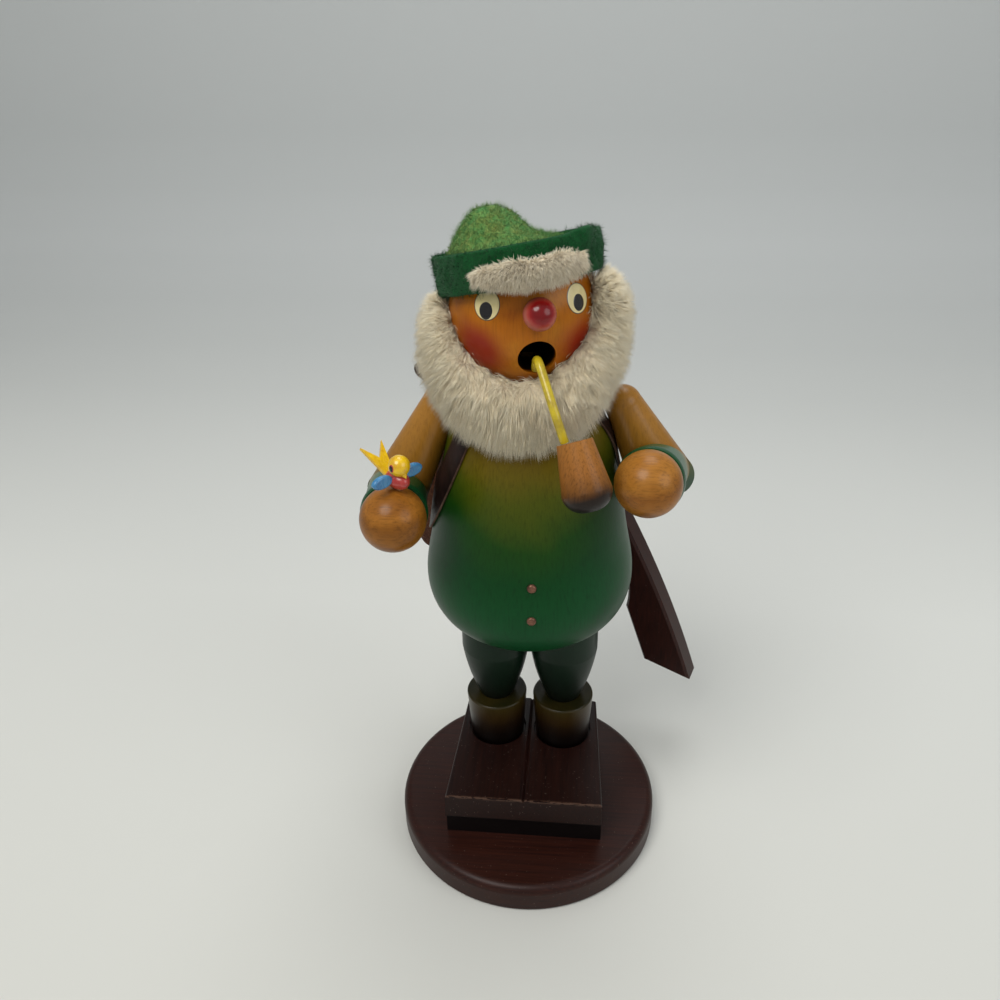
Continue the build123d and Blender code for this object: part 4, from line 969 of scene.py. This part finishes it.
def painted_disc(name, ball, ball_size, centre, half_width, half_height, lift, material):
    """A disc laid on a ball round a point of it. Its paint is as thick as lift, and a tenth power of the
    distance from its middle feathers it into the wood at the edge."""
    square = unit((centre - ball) / ball_size ** 2)
    side = unit(np.cross(Z_UP, square))
    up = np.cross(square, side)
    share, angle = ring_grid(0.02, 1, 14, 64)
    flat = (centre + (share * half_width * np.cos(angle))[..., None] * side
            + (share * half_height * np.sin(angle))[..., None] * up - ball)
    surface = flat / np.linalg.norm(flat / ball_size, axis=-1, keepdims=True)
    thick = lift - (lift + 0.05) * share ** 10
    point = ball + surface + unit(surface / ball_size ** 2) * thick[..., None]
    faces = grid_faces(14, 64, wrap_columns=True) + [list(range(63, -1, -1))]
    return make_piece(name, point.reshape(-1, 3), faces, material)


# Each eye's middle and its pupil's, and each layer's half width, half height and thickness of paint
EYES = (("right", np.array([-8.6, -6.6, 170.5]), np.array([-8.6, -6.6, 169.2])),
        ("left", np.array([12.2, -1.7, 170.8]), np.array([12.1, -1.7, 169.8])))
for side_name, centre, pupil in EYES:
    for part, middle, half_width, half_height, lift, material in (
            ("outline", centre, 3.72, 3.92, 0.05, eye_line), ("white", centre, 3.48, 3.68, 0.10, eye_cream),
            ("pupil", pupil, 1.95, 2.2, 0.15, eye_black)):
        painted_disc(f"{side_name}_eye_{part}", HEAD, HEAD_SIZE, middle, half_width, half_height, lift,
                     material)

# The bird's eyes, one each side of its head
BIRD_HEAD, BIRD_HEAD_RADIUS = np.array([-29.37, -18.92, 134.4]), 2.7
bird_facing = math.radians(41.0)
bird_aside = np.array([math.sin(bird_facing), math.cos(bird_facing), 0.0])
eye_way = unit(np.array([-0.56, -0.81, 0.10]))
for side_name, way in (("right", eye_way), ("left", eye_way - 2 * (eye_way @ bird_aside) * bird_aside)):
    middle = BIRD_HEAD + way * BIRD_HEAD_RADIUS
    for layer, size, lift, material in (("ring", 1.00, 0.05, bird_red), ("pupil", 0.76, 0.09, eye_black)):
        painted_disc(f"bird_{side_name}_eye_{layer}", BIRD_HEAD, np.full(3, BIRD_HEAD_RADIUS), middle,
                     size * 0.85, size * 1.15, lift, material)


# Stage: pale floor that turns up into a grey backdrop, and soft studio light

def paper_material():
    """Matt paper that turns from pale to grey towards the back."""
    made, add, where = new_material("matt_pale_paper")
    far = add("MapRange", {0: add("SeparateXYZ", {0: where}, 1), 1: -100.0, 2: 600.0})
    colour = add("ValToRGB", {"Fac": far},
                 stops=[(0.0, "#CFCFC8"), (0.30, "#D6D7D2"), (0.62, "#C6C8C5"), (1.0, "#BFC2C1")])
    finish_with(add, colour, 0.8)
    return made


FLOOR_LINE = np.array([(-900, 0), (-300, 0), (0, 0), (150, 0), (300, 0), (420, 0), (500, 8), (550, 24),
                       (575, 45), (590, 75), (600, 120), (600, 400), (600, 1200)], float)
FLOOR_HALF_WIDTH = 1500.0
floor_points = [[(x, y, z) for x in (-FLOOR_HALF_WIDTH, FLOOR_HALF_WIDTH)] for y, z in FLOOR_LINE]
floor_mesh = smooth_mesh("floor", np.array(floor_points).reshape(-1, 3), grid_faces(len(FLOOR_LINE), 2))
floor_mesh.materials.append(paper_material())
in_scene("floor", floor_mesh)

# Lamps: where each stands and what it looks at in metres, its width in metres, watts and colour
for name, location, target, size, power, colour in (
        ("key_softbox", (-0.25, -0.35, 0.75), (0, 0, 0.10), 0.45, 3.4, (1.0, 0.985, 0.96)),
        ("fill_softbox", (0.55, -0.30, 0.45), (0, 0, 0.10), 0.50, 1.2, (0.97, 0.98, 1.0)),
        ("top_softbox", (0.05, 0.30, 0.80), (0, 0.02, 0.12), 0.50, 1.8, (1, 1, 1))):
    lamp = in_scene(name, bpy.data.lights.new(name, "AREA"))
    lamp.data.shape, lamp.data.size, lamp.data.energy, lamp.data.color = "DISK", size, power, colour
    lamp.location = location
    lamp.rotation_euler = (Vector(target) - Vector(location)).to_track_quat("-Z", "Y").to_euler()

ROOM_LIGHT, ROOM_STRENGTH = (0.92, 0.94, 0.95, 1.0), 0.42
world = bpy.data.worlds.new("studio")
world.use_nodes = True
background = world.node_tree.nodes["Background"]
background.inputs["Color"].default_value = ROOM_LIGHT
background.inputs["Strength"].default_value = ROOM_STRENGTH
bpy.context.scene.world = world
bpy.context.scene.view_settings.view_transform = "Standard"
